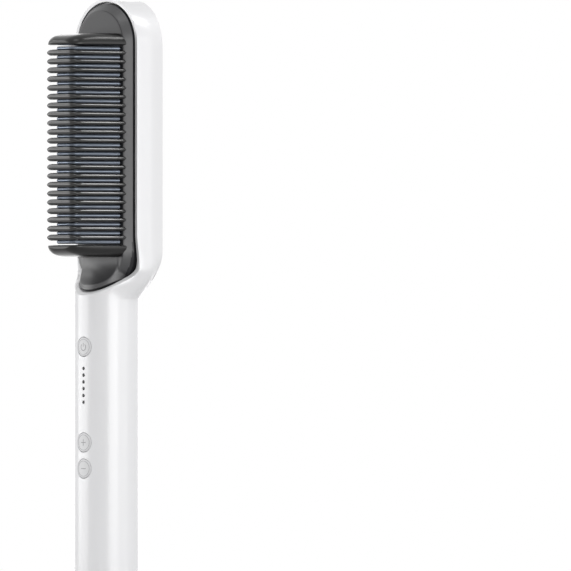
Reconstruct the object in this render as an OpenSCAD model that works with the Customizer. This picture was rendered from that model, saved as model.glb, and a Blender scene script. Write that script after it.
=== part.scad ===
// Hot comb: an electric hair-straightening comb with a round handle, a stadium-shaped
// head, a heated metal comb and a plastic guard comb whose fins stand between the metal ones.
// Z runs up the handle from the tail face, the fins point to -Y, +X is to the right from the front.

/* [Handle] */
// Radius of the round handle
handle_r = 15.3; // [15:0.1:16]
// Wall of the handle tube
wall = 2.3; // [2:0.1:2.6]
// Length of the separate tail cap
cap_len = 5; // [4.5:0.5:6]

/* [Head] */
// Height of the top of the head above the tail face
top_z = 295; // [293:1:297]
// Largest half-width of the head
head_r = 23.1; // [22.8:0.1:23.6]
// Half-width of the head at its front edge
crease_r = 20.9; // [20.7:0.1:21.2]
// Depth of the head's front edge, measured from the handle axis
front_y = -0.7; // [-1:0.1:-0.4]
// Depth of the middle of the head's back
back_y = 16; // [15.8:0.1:16.4]
// How far the back drops from its middle to its side edges
crown = 2.1; // [1.6:0.1:2.4]
// Half-width of the opening that holds the guard comb
opening_r = 19.4; // [19.2:0.1:19.6]

/* [Comb] */
// Distance from one fin to the next of its kind
fin_pitch = 4.1; // [4:0.05:4.2]
// Number of metal fins
metal_fins = 23; // [19:1:23]
// Height of the lowest metal fin
first_fin_z = 181.25; // [181:0.25:182]
// Thickness of a metal fin
metal_t = 1.6; // [1.4:0.1:1.6]
// Thickness of a guard fin
guard_t = 1.7; // [1.5:0.1:1.9]
// Depth of the guard fins' tips
guard_tip_y = -31; // [-31.5:0.1:-29.5]
// Depth of the metal fins' tips
metal_tip_y = -28.2; // [-28.4:0.1:-27.5]

/* [Controls] */
// Radius of a push button
button_r = 4.5; // [4.2:0.1:4.7]
// Height of the minus button
minus_z = 75.6; // [74:0.2:76]
// Height of the plus button
plus_z = 87.8; // [87:0.2:90]
// Height of the power button
power_z = 132.4; // [131:0.2:134]
// Height of the lowest indicator
led_z = 106.6; // [105:0.2:107]
// Distance between indicators
led_pitch = 3.15; // [3:0.05:3.2]
// Number of indicators
led_count = 6; // [3:1:6]

/* [Cord gland] */
// Radius of the bore that takes the cord
cord_bore_r = 3.3; // [3:0.1:3.5]

/* [Hidden] */
$fn = 64;
eps = 0.01;

// Handle and its inside
bore_r = handle_r - wall;
neck_z = 155;                       // where the handle starts to widen into the head
head_z = 177;                       // where the head has reached its full section
gap = 0.2;                          // clearance round a moving piece

// Head outlines, seen from the front: half-width, lower arc centre, upper arc centre
low_z = 177.3;
open_top_z = top_z - opening_r - 1.3;
cavity_r = opening_r + 1.4;
cavity_top_z = top_z - cavity_r - 2;
edge_r = head_r - 0.2;              // half-width of the head at its back edge
bulge_y = 8.5;                      // depth at which the head is widest
front_bow = 0.3;                    // how far the middle of the front stands before its edges
side_a = -45;                       // section angle of the front crease
edge_a = 38;                        // section angle of the back edge

// Guard comb
guard_r = opening_r - 1.1;          // half-width of the guard's border
ridge_r = 15.3;                     // half-width of the ridge inside the border
floor_y = -4.5;                     // depth of the floor the fins stand on
floor_t = 2;
flange_y = 3.2;                     // shoulder that the guard's flange bears on
flange_t = 1.2;
flange_r = cavity_r - 0.2;
skirt_r = guard_r - 1.8;            // inside of the border, behind the shoulder
guard_fins = metal_fins - 1;
fin_root_y = floor_y + 1.6;         // depth to which the guard fins are sunk in the floor
scoop_r = 14;                       // radius of the hollow under the lowest fin
scoop_z = low_z - 3;
tongue_r = 12.9;                    // curve of the guard's lower lip, inside the handle's
guard_root_w = 16.4;                // half-widths of the fins at root and tip
guard_tip_w = 9.7;
metal_root_w = 14.2;
metal_tip_w = 5.6;
guard_corner_r = 2.6;
end_corner_r = 3.2;
end_round = 3.2;                    // how far the end fins' outer sides round off
metal_corner_r = 2.6;
bead_r = 1.4;                       // radius of the bead along a guard fin's tip
bead_w = guard_tip_w - 2.6;
slot_gap = 0.2;                     // clearance of a metal fin in its slot
end_gap = 0.6;                      // space between the outermost metal fins and the end fins
last_fin_z = first_fin_z + (metal_fins - 1) * fin_pitch;

// Heater stack behind the guard's floor, front to back
plate_y = floor_y + floor_t + 0.1;
plate_t = 3;
film_t = 0.15;
ptc_y = plate_y + plate_t + film_t;
ptc_t = 1.9;
ptc_count = 4;
ptc_gap = 2;
ptc_len = (last_fin_z - first_fin_z - 6) / ptc_count - ptc_gap;
strip_t = 0.3;
clamp_y = ptc_y + ptc_t + strip_t + film_t;
clamp_t = 0.8;
shield_y = flange_y + flange_t;
shield_t = 1.3;
post_x = 9;                         // screw posts that hold the shield
post_z = [low_z - 7.6, open_top_z + 7];
screw_r = 1.2;
lead_hole_x = 4;
lead_hole_z = first_fin_z + 5;
lead_hole_r = 1.6;
fuse_r = 1.9;
fuse_at = [6, shield_y + shield_t + 2, 205];
sensor_r = 1.2;
sensor_at = [-6, shield_y + shield_t + 1.6, 222];

// Rear trim
ring_r = 22.2;
ring_low_z = 176.4;
ring_top_z = 271.5;
ring_steps = 48;                    // points round the ring and the panel
panel_gap = 0.8;
panel_r = 18.1;
panel_low_z = 177.3;
panel_top_z = 270.4;
seat_d = 1.55;                      // depth of the ring's seat under the skin
seat_in_r = 18;

// Handle interior
pcb_y = -4.5;
pcb_t = 1.6;
pcb_w = 11.8;
pcb_z = [60, 148];
board_screw_x = 6;
board_screw_z = [64, 144];
carrier_z = [20, 148];
rail_z = [24, 150];
terminal_z = 132;
boss_y = -11.6;                     // inner end of the button bosses
boss_wall = 1.6;
flange_gap = 0.3;
button_stand = 0.15;                // how far a button stands before the handle
led_r = 0.8;
led_fit = 0.05;
plunger_r = 1.7;
plunger_fit = 0.08;
switch_h = 3.5;
switch_w = 6;
plunger_y = pcb_y - switch_h - 1.2; // front of the plungers

// Tail
swivel_r = 5.5;
swivel_fit = 0.05;
swivel_len = 16;
stem_r = 4.2;                       // radius of the swivel's stem, which carries the slip rings
tail_r = 13;
slip_ring_r = 5;
slip_ring_z = [9.4, 13.2];
snap_z = cap_len + 7.4;

// ---- Small functions ----
function clamp01(t) = max(0, min(1, t));
function smooth(t) = let (c = clamp01(t)) c * c * (3 - 2 * c);
function mix(a, b, t) = a + (b - a) * t;
function soft(d) = (d + sqrt(d * d + 1.44)) / 2;
function ease(z, z0, span) = sin(90 * clamp01(soft(z - z0) / span));

// ---- Outer skin of the housing ----
// A point on the skin has a section angle a, from -90 at the front to 90 at the back.
// Half-width of the head's side wall at depth y.
function side_r(y) = y < bulge_y
    ? head_r - (head_r - crease_r) * pow((bulge_y - y) / (bulge_y - front_y), 2)
    : head_r - (head_r - edge_r) * min(1, pow((y - bulge_y) / 5.4, 2));
// Depth of the crowned back of the full head at half-width x.
function crown_y(x) = back_y - crown * pow(x / edge_r, 2);
// Point of the head's section at angle a, on a ray f degrees round the upper arc.
function head_pt(a, f) =
    a <= side_a
        ? let (u = cos(a) / cos(side_a))
          [crease_r * cos(f) * u, front_y - front_bow * (1 - u * u), top_z - crease_r * (1 - sin(f))]
        : a < edge_a
            ? let (y = mix(front_y, crown_y(edge_r * cos(f)), (a - side_a) / (edge_a - side_a)),
                   r = side_r(y))
              [r * cos(f), y, top_z - r * (1 - sin(f))]
            : let (x = edge_r * cos(f) * cos(a) / cos(edge_a))
              [x, crown_y(x), top_z - edge_r * (1 - sin(f))];
// How far the section at height z has gone from the handle's circle to the head's section.
function blend(a, z) =
    let (front = smooth((z - neck_z - 1) / 13),
         side = ease(z, neck_z, 17),
         back = ease(z, neck_z + 0.5, 21.5))
    a < 0 ? mix(front, side, smooth((a - side_a) / -side_a)) : mix(side, back, smooth(a / edge_a));
// Point of the skin below the full head.
function neck_pt(a, z) =
    let (h = head_pt(a, 0), w = blend(a, z))
    [mix(handle_r * cos(a), h[0], w), mix(handle_r * sin(a), h[1], w), z];
// Section angle at which the skin has half-width x at height z.
function angle_at(x, z, lo = 0, hi = 90, n = 18) =
    let (m = (lo + hi) / 2)
    n == 0 ? m : neck_pt(m, z)[0] > x ? angle_at(x, z, m, hi, n - 1) : angle_at(x, z, lo, m, n - 1);
// Depth of the back of the skin at half-width x and height z.
function skin_back(x, z) =
    z >= head_z ? crown_y(abs(x)) : neck_pt(angle_at(abs(x), z), z)[1];

section_angles = [
    -90, -75, -62, -52, side_a, -38, -28, -18, -9, 0, 10, 20, 29, 34, edge_a,
    45, 53, 60, 67, 74, 82, 90
];
neck_rows = [
    cap_len, 146, 150, 152.5, 154, 155.5, 157, 158.5, 160, 161.5, 163, 165, 167, 169.5,
    172, 174.5, head_z
];
cap_angles = [0, 10, 20, 30, 40, 50, 60, 68, 76, 83, 87];

// A row of points on the right half, front to back, then the left half, back to front.
function both_sides(half) = concat(
    half, [for (i = [len(half) - 2:-1:1]) [-half[i][0], half[i][1], half[i][2]]]);
// Faces between rows of n points, with strips across the first and last rows.
function row_faces(rows, n) = [for (j = [0:rows - 2]) for (i = [0:n - 1])
    let (k = (i + 1) % n) [j * n + i, (j + 1) * n + i, (j + 1) * n + k, j * n + k]];
function strip_faces(base, n, flip) = [for (i = [0:n / 2 - 1])
    let (a = base + i, b = base + i + 1, c = base + (n - i - 1) % n, d = base + (n - i) % n,
         q = i == 0 ? [a, b, c] : i == n / 2 - 1 ? [a, b, d] : [a, b, c, d])
    flip ? [for (p = [len(q) - 1:-1:0]) q[p]] : q];

module skin() {
    n = 2 * (len(section_angles) - 1);
    rows = concat(
        [for (z = neck_rows) both_sides([for (a = section_angles) neck_pt(a, z)])],
        [for (f = cap_angles) both_sides([for (a = section_angles) head_pt(a, f)])]);
    points = [for (row = rows) for (p = row) p];
    polyhedron(points, concat(
        row_faces(len(rows), n), strip_faces(0, n, false),
        strip_faces((len(rows) - 1) * n, n, true)), convexity = 6);
}

// ---- Stadium outlines, standing in the XZ plane ----
module stadium(r, low, top, y0, y1) {
    for (z = [low, top]) {
        translate([0, y1, z]) rotate([90, 0, 0]) cylinder(r = r, h = y1 - y0);
    }
    translate([-r, y0, low]) cube([2 * r, y1 - y0, top - low]);
}

// A profile of [half-width, depth] points carried round a stadium outline.
module stadium_profile(profile, low, top) {
    for (end = [[low, 180], [top, 0]]) {
        translate([0, 0, end[0]]) rotate([90, 0, 0]) rotate([0, 0, end[1]])
            rotate_extrude(angle = 180) polygon([for (p = profile) [p[0], -p[1]]]);
    }
    translate([0, 0, low]) linear_extrude(top - low)
        for (side = [-1, 1]) polygon([for (p = profile) [side * p[0], p[1]]]);
}

// Points round a stadium outline, laid on the back skin with an offset, or at a fixed depth.
function stadium_loop(r, low, top, offset, fixed) = [for (i = [0:ring_steps - 1])
    let (half = ring_steps / 2,
         upper = i < half,
         t = 180 * (i % half) / (half - 1),
         x = r * cos(upper ? t : t + 180),
         z = (upper ? top : low) + r * sin(upper ? t : t + 180))
    [x, fixed ? offset : skin_back(x, z) + offset, z]];
function torus_faces(loops) = let (n = ring_steps)
    [for (j = [0:loops - 1]) for (i = [0:n - 1])
        let (k = (i + 1) % n, m = (j + 1) % loops) [j * n + k, m * n + k, m * n + i, j * n + i]];

// ---- Housing ----
module button_hole(z, r) {
    translate([0, -handle_r - 1, z]) rotate([-90, 0, 0]) cylinder(r = r, h = handle_r - 5);
}

// Space inside the handle's tube, which leaves a block of wall round each button's hole
module tube_space() {
    pad = button_r + boss_wall;
    difference() {
        union() {
            translate([0, 0, cap_len - 1]) cylinder(r = bore_r, h = low_z - cap_len + 1);
            // Snap groove for the tail cap
            translate([0, 0, snap_z]) cylinder(r = bore_r + 0.4, h = 1.2);
        }
        for (z = [minus_z, plus_z, power_z]) translate([-pad, -handle_r - 2, z - pad])
            cube([2 * pad, handle_r + 2 + boss_y, 2 * pad]);
    }
}

module board_rail(side) {
    intersection() {
        translate([side > 0 ? 11.1 : -bore_r - 1, pcb_y + pcb_t, rail_z[0]])
            cube([bore_r - 10.1, 1.4, rail_z[1] - rail_z[0]]);
        translate([0, 0, rail_z[0]]) cylinder(r = bore_r + 0.8, h = rail_z[1] - rail_z[0]);
    }
}

module ring_seat() {
    loops = [
        stadium_loop(ring_r + 0.1, ring_low_z, ring_top_z, -seat_d, false),
        stadium_loop(ring_r + 0.1, ring_low_z, ring_top_z, 25, true),
        stadium_loop(seat_in_r, ring_low_z, ring_top_z, 25, true),
        stadium_loop(seat_in_r, ring_low_z, ring_top_z, -seat_d, false)
    ];
    polyhedron([for (l = loops) for (p = l) p], torus_faces(len(loops)), convexity = 6);
}

module main_housing() {
    color("white") difference() {
        union() {
            difference() {
                skin();
                tube_space();
                // Opening for the guard comb, cavity behind its shoulder, and seat of the ring
                stadium(opening_r, low_z, open_top_z, -handle_r - 5, 25);
                stadium(cavity_r, low_z, cavity_top_z, flange_y, 11.2);
                ring_seat();
            }
            for (side = [-1, 1]) board_rail(side);
        }
        for (z = [minus_z, plus_z, power_z]) button_hole(z, button_r + gap);
        for (i = [0:led_count - 1]) button_hole(led_z + i * led_pitch, led_r + led_fit);
    }
}

// ---- Guard comb ----
// Outline of a fin in the XY plane: straight flanks, round tip corners of radius r.
function fin_outline(root_w, tip_w, root_y, tip_y, r) =
    let (flank = atan2(root_y - tip_y, root_w - tip_w),
         corner = [tip_w - r * tan(flank / 2), tip_y + r],
         steps = 5,
         arc = [for (k = [0:steps]) let (a = k * flank / steps - 90) corner + r * [cos(a), sin(a)]])
    concat([[root_w, root_y]], [for (k = [steps:-1:0]) arc[k]],
        [for (k = [0:steps]) [-arc[k][0], arc[k][1]]], [[-root_w, root_y]]);

module guard_fin(z) {
    translate([0, 0, z - guard_t / 2]) linear_extrude(guard_t)
        polygon(fin_outline(guard_root_w, guard_tip_w, fin_root_y, guard_tip_y, guard_corner_r));
    translate([0, guard_tip_y + bead_r, z]) {
        rotate([0, 90, 0]) cylinder(r = bead_r, h = 2 * bead_w, center = true);
        for (side = [-1, 1]) translate([side * bead_w, 0, 0]) sphere(r = bead_r);
    }
}

// The thick fin that closes the comb at each end, as [distance from its tip, inner edge, outer edge].
end_fin_side = [
    [fin_root_y - guard_tip_y, 0, 5.7], [14, 0, 5.65], [8, 0, 5.5], [5, 0, 5.2], [3, 0, 4.7],
    [1.8, 0.05, 4.1], [0.9, 0.25, 3.4], [0.35, 0.6, 2.7], [0, 1.3, 1.9]
];
// Its section, as [inset from its side, share of its thickness] from the inner face outwards.
end_fin_section = concat([[2.4, 0], [1, 0.03], [0.3, 0.1], [0, 0.24]],
    [for (t = [0:15:90]) [end_round * (1 - cos(t)), mix(0.36, 1, sin(t))]]);

// Half-width of an end fin at a distance from its tip: the flank, or the round corner next to the tip
function end_fin_w(d) =
    let (flank = atan2(fin_root_y - guard_tip_y, guard_root_w - guard_tip_w), r = end_corner_r)
    d < r * (1 - cos(flank))
        ? guard_tip_w - r * tan(flank / 2) + sqrt(r * r - pow(r - d, 2))
        : mix(guard_tip_w, guard_root_w, d / (fin_root_y - guard_tip_y));

module end_fin(z, way) {
    rows = [for (p = end_fin_side)
        let (w = end_fin_w(p[0]), y = guard_tip_y + p[0])
        both_sides(concat(
            [[0, y, z + way * mix(p[1], p[2], -0.02)]],
            [for (s = end_fin_section) [w - s[0], y, z + way * mix(p[1], p[2], s[1])]],
            [[0, y, z + way * mix(p[1], p[2], 1.02)]]))];
    n = len(rows[0]);
    faces = concat(row_faces(len(rows), n), strip_faces(0, n, false),
        strip_faces((len(rows) - 1) * n, n, true));
    polyhedron([for (row = rows) for (p = row) p],
        [for (q = faces) way > 0 ? q : [for (i = [len(q) - 1:-1:0]) q[i]]], convexity = 4);
}

module guard_tongue() {
    intersection() {
        translate([0, 0, neck_z]) cylinder(r = tongue_r, h = low_z - neck_z);
        stadium(guard_r, low_z, open_top_z, -handle_r, floor_y + 2);
    }
}

module comb_guard() {
    color("dimgray") difference() {
        union() {
            stadium_profile([
                [0, floor_y], [ridge_r, floor_y], [guard_r, front_y - 0.2], [guard_r, shield_y],
                [skirt_r, shield_y], [skirt_r, 0], [ridge_r - 0.7, floor_y + floor_t],
                [0, floor_y + floor_t]
            ], low_z, open_top_z);
            difference() {
                stadium(flange_r, low_z, cavity_top_z, flange_y, shield_y);
                stadium(skirt_r, low_z, open_top_z, 0, shield_y + 1);
            }
            difference() {
                guard_tongue();
                translate([0, floor_y - scoop_r, scoop_z]) rotate([0, 90, 0])
                    cylinder(r = scoop_r, h = 50, center = true);
                translate([-25, floor_y - 2 * scoop_r, scoop_z]) cube([50, 2 * scoop_r, scoop_r]);
            }
            for (i = [1:guard_fins]) guard_fin(first_fin_z + (i - 0.5) * fin_pitch);
            end_fin(first_fin_z - metal_t / 2 - end_gap, -1);
            end_fin(last_fin_z + metal_t / 2 + end_gap, 1);
            for (z = post_z) for (side = [-1, 1])
                translate([side * post_x, shield_y, z]) rotate([90, 0, 0])
                    cylinder(r = 2.4, h = shield_y - floor_y - 1);
        }
        for (i = [0:metal_fins - 1])
            translate([-metal_root_w - slot_gap, floor_y - 3,
                first_fin_z + i * fin_pitch - metal_t / 2 - slot_gap])
                cube([2 * (metal_root_w + slot_gap), floor_t + 4, metal_t + 2 * slot_gap]);
        for (z = post_z) for (side = [-1, 1])
            translate([side * post_x, shield_y + 1, z]) rotate([90, 0, 0])
                cylinder(r = screw_r + 0.05, h = 7);
    }
}

// ---- Heated metal comb ----
module metal_fin(z) {
    translate([0, 0, z - metal_t / 2]) linear_extrude(metal_t)
        polygon(fin_outline(metal_root_w, metal_tip_w, plate_y + 0.5, metal_tip_y, metal_corner_r));
}

module heater_comb() {
    color("slategray") {
        for (i = [0:metal_fins - 1]) metal_fin(first_fin_z + i * fin_pitch);
        translate([-metal_root_w, plate_y, first_fin_z - 1.5])
            cube([2 * metal_root_w, plate_t, last_fin_z - first_fin_z + 3]);
    }
}

module insulation_film() {
    color("darkorange") {
        translate([-9, plate_y + plate_t, first_fin_z]) cube([18, film_t, last_fin_z - first_fin_z]);
        translate([-9, clamp_y - film_t, first_fin_z + 8])
            cube([18, film_t, last_fin_z - first_fin_z - 8]);
    }
}

module ptc_heaters() {
    color("dimgray") for (i = [0:ptc_count - 1])
        translate([-7, ptc_y, first_fin_z + 4 + i * (ptc_len + ptc_gap)]) cube([14, ptc_t, ptc_len]);
}

module electrode_strips() {
    color("silver") translate([-7.5, ptc_y + ptc_t, first_fin_z + 2])
        cube([15, strip_t, last_fin_z - first_fin_z - 4]);
}

module heater_clamp() {
    color("lightsteelblue") difference() {
        translate([-10, clamp_y, first_fin_z - 0.5])
            cube([20, clamp_t, last_fin_z - first_fin_z + 1]);
        for (side = [-1, 1]) translate([side * lead_hole_x, clamp_y + 2, lead_hole_z])
            rotate([90, 0, 0]) cylinder(r = lead_hole_r, h = 4);
    }
}

module thermal_fuse() {
    color("gainsboro") translate(fuse_at) cylinder(r = fuse_r, h = 11);
}

module temperature_sensor() {
    color("black") translate(sensor_at) {
        cylinder(r = sensor_r, h = 6);
        translate([0, 0, 6]) sphere(r = sensor_r);
    }
}

module heat_shield() {
    color("tan") difference() {
        union() {
            stadium(flange_r, low_z, cavity_top_z, shield_y + 0.05, shield_y + shield_t);
            // Ribs that press on the heater's clamp
            for (z = [200, 226, 252]) translate([-8, clamp_y + clamp_t, z])
                cube([16, shield_y - clamp_y - clamp_t + 0.1, 2]);
            // Saddles for the fuse and the sensor
            translate([3.4, shield_y + shield_t - eps, 207]) cube([5.2, 1, 7]);
            translate([-7.6, shield_y + shield_t - eps, 223]) cube([3.2, 0.9, 4]);
        }
        for (z = post_z) for (side = [-1, 1])
            translate([side * post_x, 12, z]) rotate([90, 0, 0]) cylinder(r = screw_r + 0.2, h = 12);
        for (side = [-1, 1]) translate([side * lead_hole_x, 12, lead_hole_z])
            rotate([90, 0, 0]) cylinder(r = lead_hole_r, h = 12);
        translate(fuse_at + [0, 0, 1]) cylinder(r = fuse_r + 0.05, h = 9);
        translate(sensor_at + [0, 0, 0.5]) cylinder(r = sensor_r + 0.05, h = 5);
    }
}

module shield_screws() {
    color("silver") for (z = post_z) for (side = [-1, 1])
        translate([side * post_x, shield_y + shield_t, z]) rotate([90, 0, 0]) {
            cylinder(r = screw_r, h = 6.5);
            translate([0, 0, -1.4]) difference() {
                cylinder(r = 2.3, h = 1.4);
                translate([0, 0, -eps]) cylinder(r = 0.8, h = 0.8, $fn = 6);
            }
        }
}

// ---- Rear trim ----
module rear_ring() {
    lead_y = shield_y + shield_t;
    in_r = panel_r + panel_gap;
    mid_r = (ring_r + in_r) / 2;
    skirt_in = in_r - 0.3;
    loops = [
        stadium_loop(ring_r, ring_low_z, ring_top_z, -seat_d + 0.05, false),
        stadium_loop(ring_r, ring_low_z, ring_top_z, -0.3, false),
        stadium_loop(ring_r - 0.5, ring_low_z, ring_top_z, 0.1, false),
        stadium_loop(mid_r, ring_low_z + 0.6, ring_top_z - 0.5, 0.45, false),
        stadium_loop(in_r + 0.2, panel_low_z, panel_top_z, 0.4, false),
        stadium_loop(in_r, panel_low_z, panel_top_z, 0.2, false),
        stadium_loop(in_r, panel_low_z, panel_top_z, -seat_d, false),
        stadium_loop(in_r - 1.7, panel_low_z, panel_top_z, -seat_d, false),
        stadium_loop(in_r - 1.7, panel_low_z, panel_top_z, lead_y + 0.1, true),
        stadium_loop(skirt_in, panel_low_z, panel_top_z, lead_y + 0.1, true),
        stadium_loop(skirt_in, panel_low_z, panel_top_z, -seat_d + 0.05, false)
    ];
    color("gray") difference() {
        polyhedron([for (l = loops) for (p = l) p], torus_faces(len(loops)), convexity = 6);
        // Way for the leads under the lower end of the skirt
        translate([-8, lead_y - 1, neck_z]) cube([16, 4.6, 12]);
    }
}

module rear_panel() {
    n = ring_steps;
    // Loops from the middle of the underside out to the edge and back over the top: [radius, lift]
    sweep = [
        [1, -seat_d + 0.1], [6, -seat_d + 0.1], [12, -seat_d + 0.1], [panel_r, -seat_d + 0.1],
        [panel_r, 0], [panel_r - 0.4, 0.25], [12, 0.3], [6, 0.3], [1, 0.3]
    ];
    loops = [for (s = sweep) stadium_loop(s[0], panel_low_z, panel_top_z, s[1], false)];
    last = (len(loops) - 1) * n;
    color("whitesmoke") polyhedron([for (l = loops) for (p = l) p], concat(
        [for (f = row_faces(len(loops), n)) [f[3], f[2], f[1], f[0]]],
        [[for (i = [n - 1:-1:0]) i]],
        [[for (i = [0:n - 1]) last + i]]), convexity = 6);
}

// ---- Control electronics ----
module light_guide() {
    color("black") {
        for (i = [0:led_count - 1]) translate([0, -handle_r + 0.12, led_z + i * led_pitch])
            rotate([-90, 0, 0]) cylinder(r = led_r, h = handle_r + pcb_y - 1.2);
        translate([-1.5, boss_y - 0.6, led_z - 2]) cube([3, 1.2, (led_count - 1) * led_pitch + 4]);
    }
}

module indicator_leds() {
    color("khaki") for (i = [0:led_count - 1])
        translate([-0.8, pcb_y - 0.8, led_z + i * led_pitch - 0.5]) cube([1.6, 0.8, 1]);
}

module control_board() {
    color("darkgreen") difference() {
        translate([-pcb_w, pcb_y, pcb_z[0]]) cube([2 * pcb_w, pcb_t, pcb_z[1] - pcb_z[0]]);
        for (z = board_screw_z) translate([board_screw_x, 0, z]) rotate([90, 0, 0])
            cylinder(r = 1.3, h = 9);
    }
}

module board_carrier() {
    under_y = pcb_y + pcb_t + 0.05;
    back = 6;
    carrier_h = carrier_z[1] - carrier_z[0];
    color("lightgray") difference() {
        union() {
            translate([-10, back, carrier_z[0]]) cube([20, 1.4, carrier_h]);
            for (x = [-10, 9]) translate([x, under_y, carrier_z[0]])
                cube([1, back + 1.4 - under_y, carrier_h]);
            translate([-10, -4, carrier_z[0]]) cube([20, 11, 1.5]);
            for (z = board_screw_z) translate([board_screw_x, under_y, z]) rotate([-90, 0, 0])
                cylinder(r = 2.2, h = back + 0.5 - under_y);
        }
        for (z = board_screw_z) translate([board_screw_x, 8, z]) rotate([90, 0, 0])
            cylinder(r = 1, h = 12);
        translate([0, 0, carrier_z[0] - 1]) cylinder(r = 2, h = 4);
    }
}

module board_screws() {
    color("silver") for (z = board_screw_z) translate([board_screw_x, pcb_y, z])
        rotate([-90, 0, 0]) {
            cylinder(r = 0.95, h = 8);
            translate([0, 0, -1.2]) difference() {
                cylinder(r = 2, h = 1.2);
                translate([0, 0, -eps]) cylinder(r = 0.8, h = 0.7, $fn = 6);
            }
        }
}

module switch_body(z) {
    color("dimgray") difference() {
        translate([-switch_w / 2, pcb_y - switch_h, z - switch_w / 2])
            cube([switch_w, switch_h, switch_w]);
        translate([0, pcb_y - switch_h - 1, z]) rotate([-90, 0, 0])
            cylinder(r = plunger_r + plunger_fit, h = 2.3);
    }
}

module power_switch() { switch_body(power_z); }
module plus_switch() { switch_body(plus_z); }
module minus_switch() { switch_body(minus_z); }

module film_capacitor() {
    color("gold") translate([-6.5, pcb_y + pcb_t + 0.05, 94]) cube([6, 7.5, 13]);
}

module triac() {
    color("black") {
        translate([1, pcb_y + pcb_t + 0.05, 112]) cube([7, 3, 9]);
        translate([1, pcb_y + pcb_t + 0.05, 121]) cube([7, 1, 4]);
    }
}

module choke() {
    color("peru") translate([4.2, pcb_y + pcb_t + 0.05, 100]) rotate([-90, 0, 0]) difference() {
        cylinder(r = 4.6, h = 5);
        translate([0, 0, 1]) cylinder(r = 1.5, h = 5);
    }
}

module microcontroller() {
    color("black") translate([3.5, pcb_y - 1.5, 96]) cube([4, 1.5, 7]);
}

module lead_terminal() {
    color("white") translate([-8, pcb_y + pcb_t + 0.05, terminal_z]) cube([11, 6, 8]);
}

// A lead of radius r through the points of a path, with mitred elbows, as one closed tube.
function unit(v) = v / norm(v);
function path_dir(path, i) =
    let (last = len(path) - 1,
         before = unit(path[max(i, 1)] - path[max(i, 1) - 1]),
         after = unit(path[min(i, last - 1) + 1] - path[min(i, last - 1)]))
    unit(before + after);
function ring_round(centre, dir, r, n) =
    let (u = unit(cross(dir, [1, 0, 0])), v = cross(dir, u))
    [for (k = [0:n - 1]) centre + r * (cos(360 * k / n) * u + sin(360 * k / n) * v)];

module lead(path, r) {
    n = 8;
    rows = len(path);
    points = [for (i = [0:rows - 1]) for (p = ring_round(path[i], path_dir(path, i), r, n)) p];
    polyhedron(points, concat(
        row_faces(rows, n), [[for (i = [0:n - 1]) i]],
        [[for (i = [n - 1:-1:0]) (rows - 1) * n + i]]));
}

module heater_leads() {
    // From the terminal, over the board's end, through the neck and down to the electrodes
    color("red") for (side = [-1, 1]) let (x = side * 2 - 3) lead([
        [x, 0, terminal_z + 8], [x, 0, terminal_z + 11], [x, 3, pcb_z[1]],
        [side * lead_hole_x, 8, neck_z], [side * lead_hole_x, 8.2, lead_hole_z],
        [side * lead_hole_x, ptc_y + ptc_t + strip_t, lead_hole_z]
    ], 0.8);
}

module sensor_leads() {
    color("ivory") for (run = [[-7, -6.5, 8, sensor_at], [2.2, 6.5, 8.2, fuse_at]]) lead([
        [run[0], 0, terminal_z + 8], [run[0], 0, terminal_z + 11], [run[0], 3, pcb_z[1]],
        [run[1], run[2], neck_z], run[3]
    ], 0.5);
}

module mains_leads() {
    // From the contacts, clear of the carrier's screw boss, down to the board
    color("saddlebrown") for (side = [-1, 1]) lead([
        [side * 6, 1.2, carrier_z[0] + 1.5], [side * 6, 1.2, carrier_z[0] + 5], [side * 6, 2.5, 36],
        [side * 2.6, 2.5, 52], [side * 2.6, 2.5, 84], [side * 2.6, 0.5, 88],
        [side * 2.6, pcb_y + pcb_t, 88]
    ], 0.8);
}

// ---- Tail ----
module contact_springs() {
    leaf_t = 0.4;
    color("goldenrod") for (side = [-1, 1]) {
        z = slip_ring_z[side > 0 ? 0 : 1] - 0.2;
        translate([side > 0 ? slip_ring_r + 0.1 : -slip_ring_r - 0.1 - leaf_t, -1.5, z])
            cube([leaf_t, 3, carrier_z[0] - z]);
        translate([side > 0 ? slip_ring_r + 0.1 : -8, -1.5, carrier_z[0] - leaf_t])
            cube([2.9, 3, leaf_t]);
    }
}

module end_cap() {
    edge_r = handle_r - tail_r;
    fit_r = bore_r - 0.05;
    color("white") rotate_extrude() polygon(concat(
        [[swivel_r + swivel_fit, 0], [tail_r, 0]],
        [for (a = [-75:15:0]) [tail_r + edge_r * cos(a), edge_r * (1 + sin(a))]],
        [[handle_r, cap_len - 0.05], [fit_r, cap_len - 0.05], [fit_r, snap_z + 0.1],
         [fit_r + 0.35, snap_z + 0.4], [fit_r + 0.35, snap_z + 0.7], [fit_r, snap_z + 1.1],
         [fit_r, cap_len + 11], [bore_r - 1.8, cap_len + 11], [bore_r - 1.8, cap_len],
         [swivel_r + swivel_fit, cap_len]]));
}

module swivel_retainer() {
    color("lightgray") difference() {
        translate([0, 0, cap_len + 2.1]) cylinder(r = bore_r - 1.85, h = 1.2);
        translate([0, 0, cap_len + 1]) cylinder(r = stem_r + 0.4, h = 4);
    }
}

module cord_swivel() {
    collar_r = 8.4;
    color("darkgray") rotate_extrude() polygon([
        [cord_bore_r, 0], [swivel_r, 0], [swivel_r, cap_len + 0.3], [collar_r, cap_len + 0.3],
        [collar_r, cap_len + 1.8], [stem_r, cap_len + 1.8], [stem_r, swivel_len],
        [cord_bore_r, swivel_len]
    ]);
}

module slip_rings() {
    color("gold") for (z = slip_ring_z) translate([0, 0, z]) difference() {
        cylinder(r = slip_ring_r, h = 2);
        translate([0, 0, -1]) cylinder(r = stem_r, h = 4);
    }
}

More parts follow.
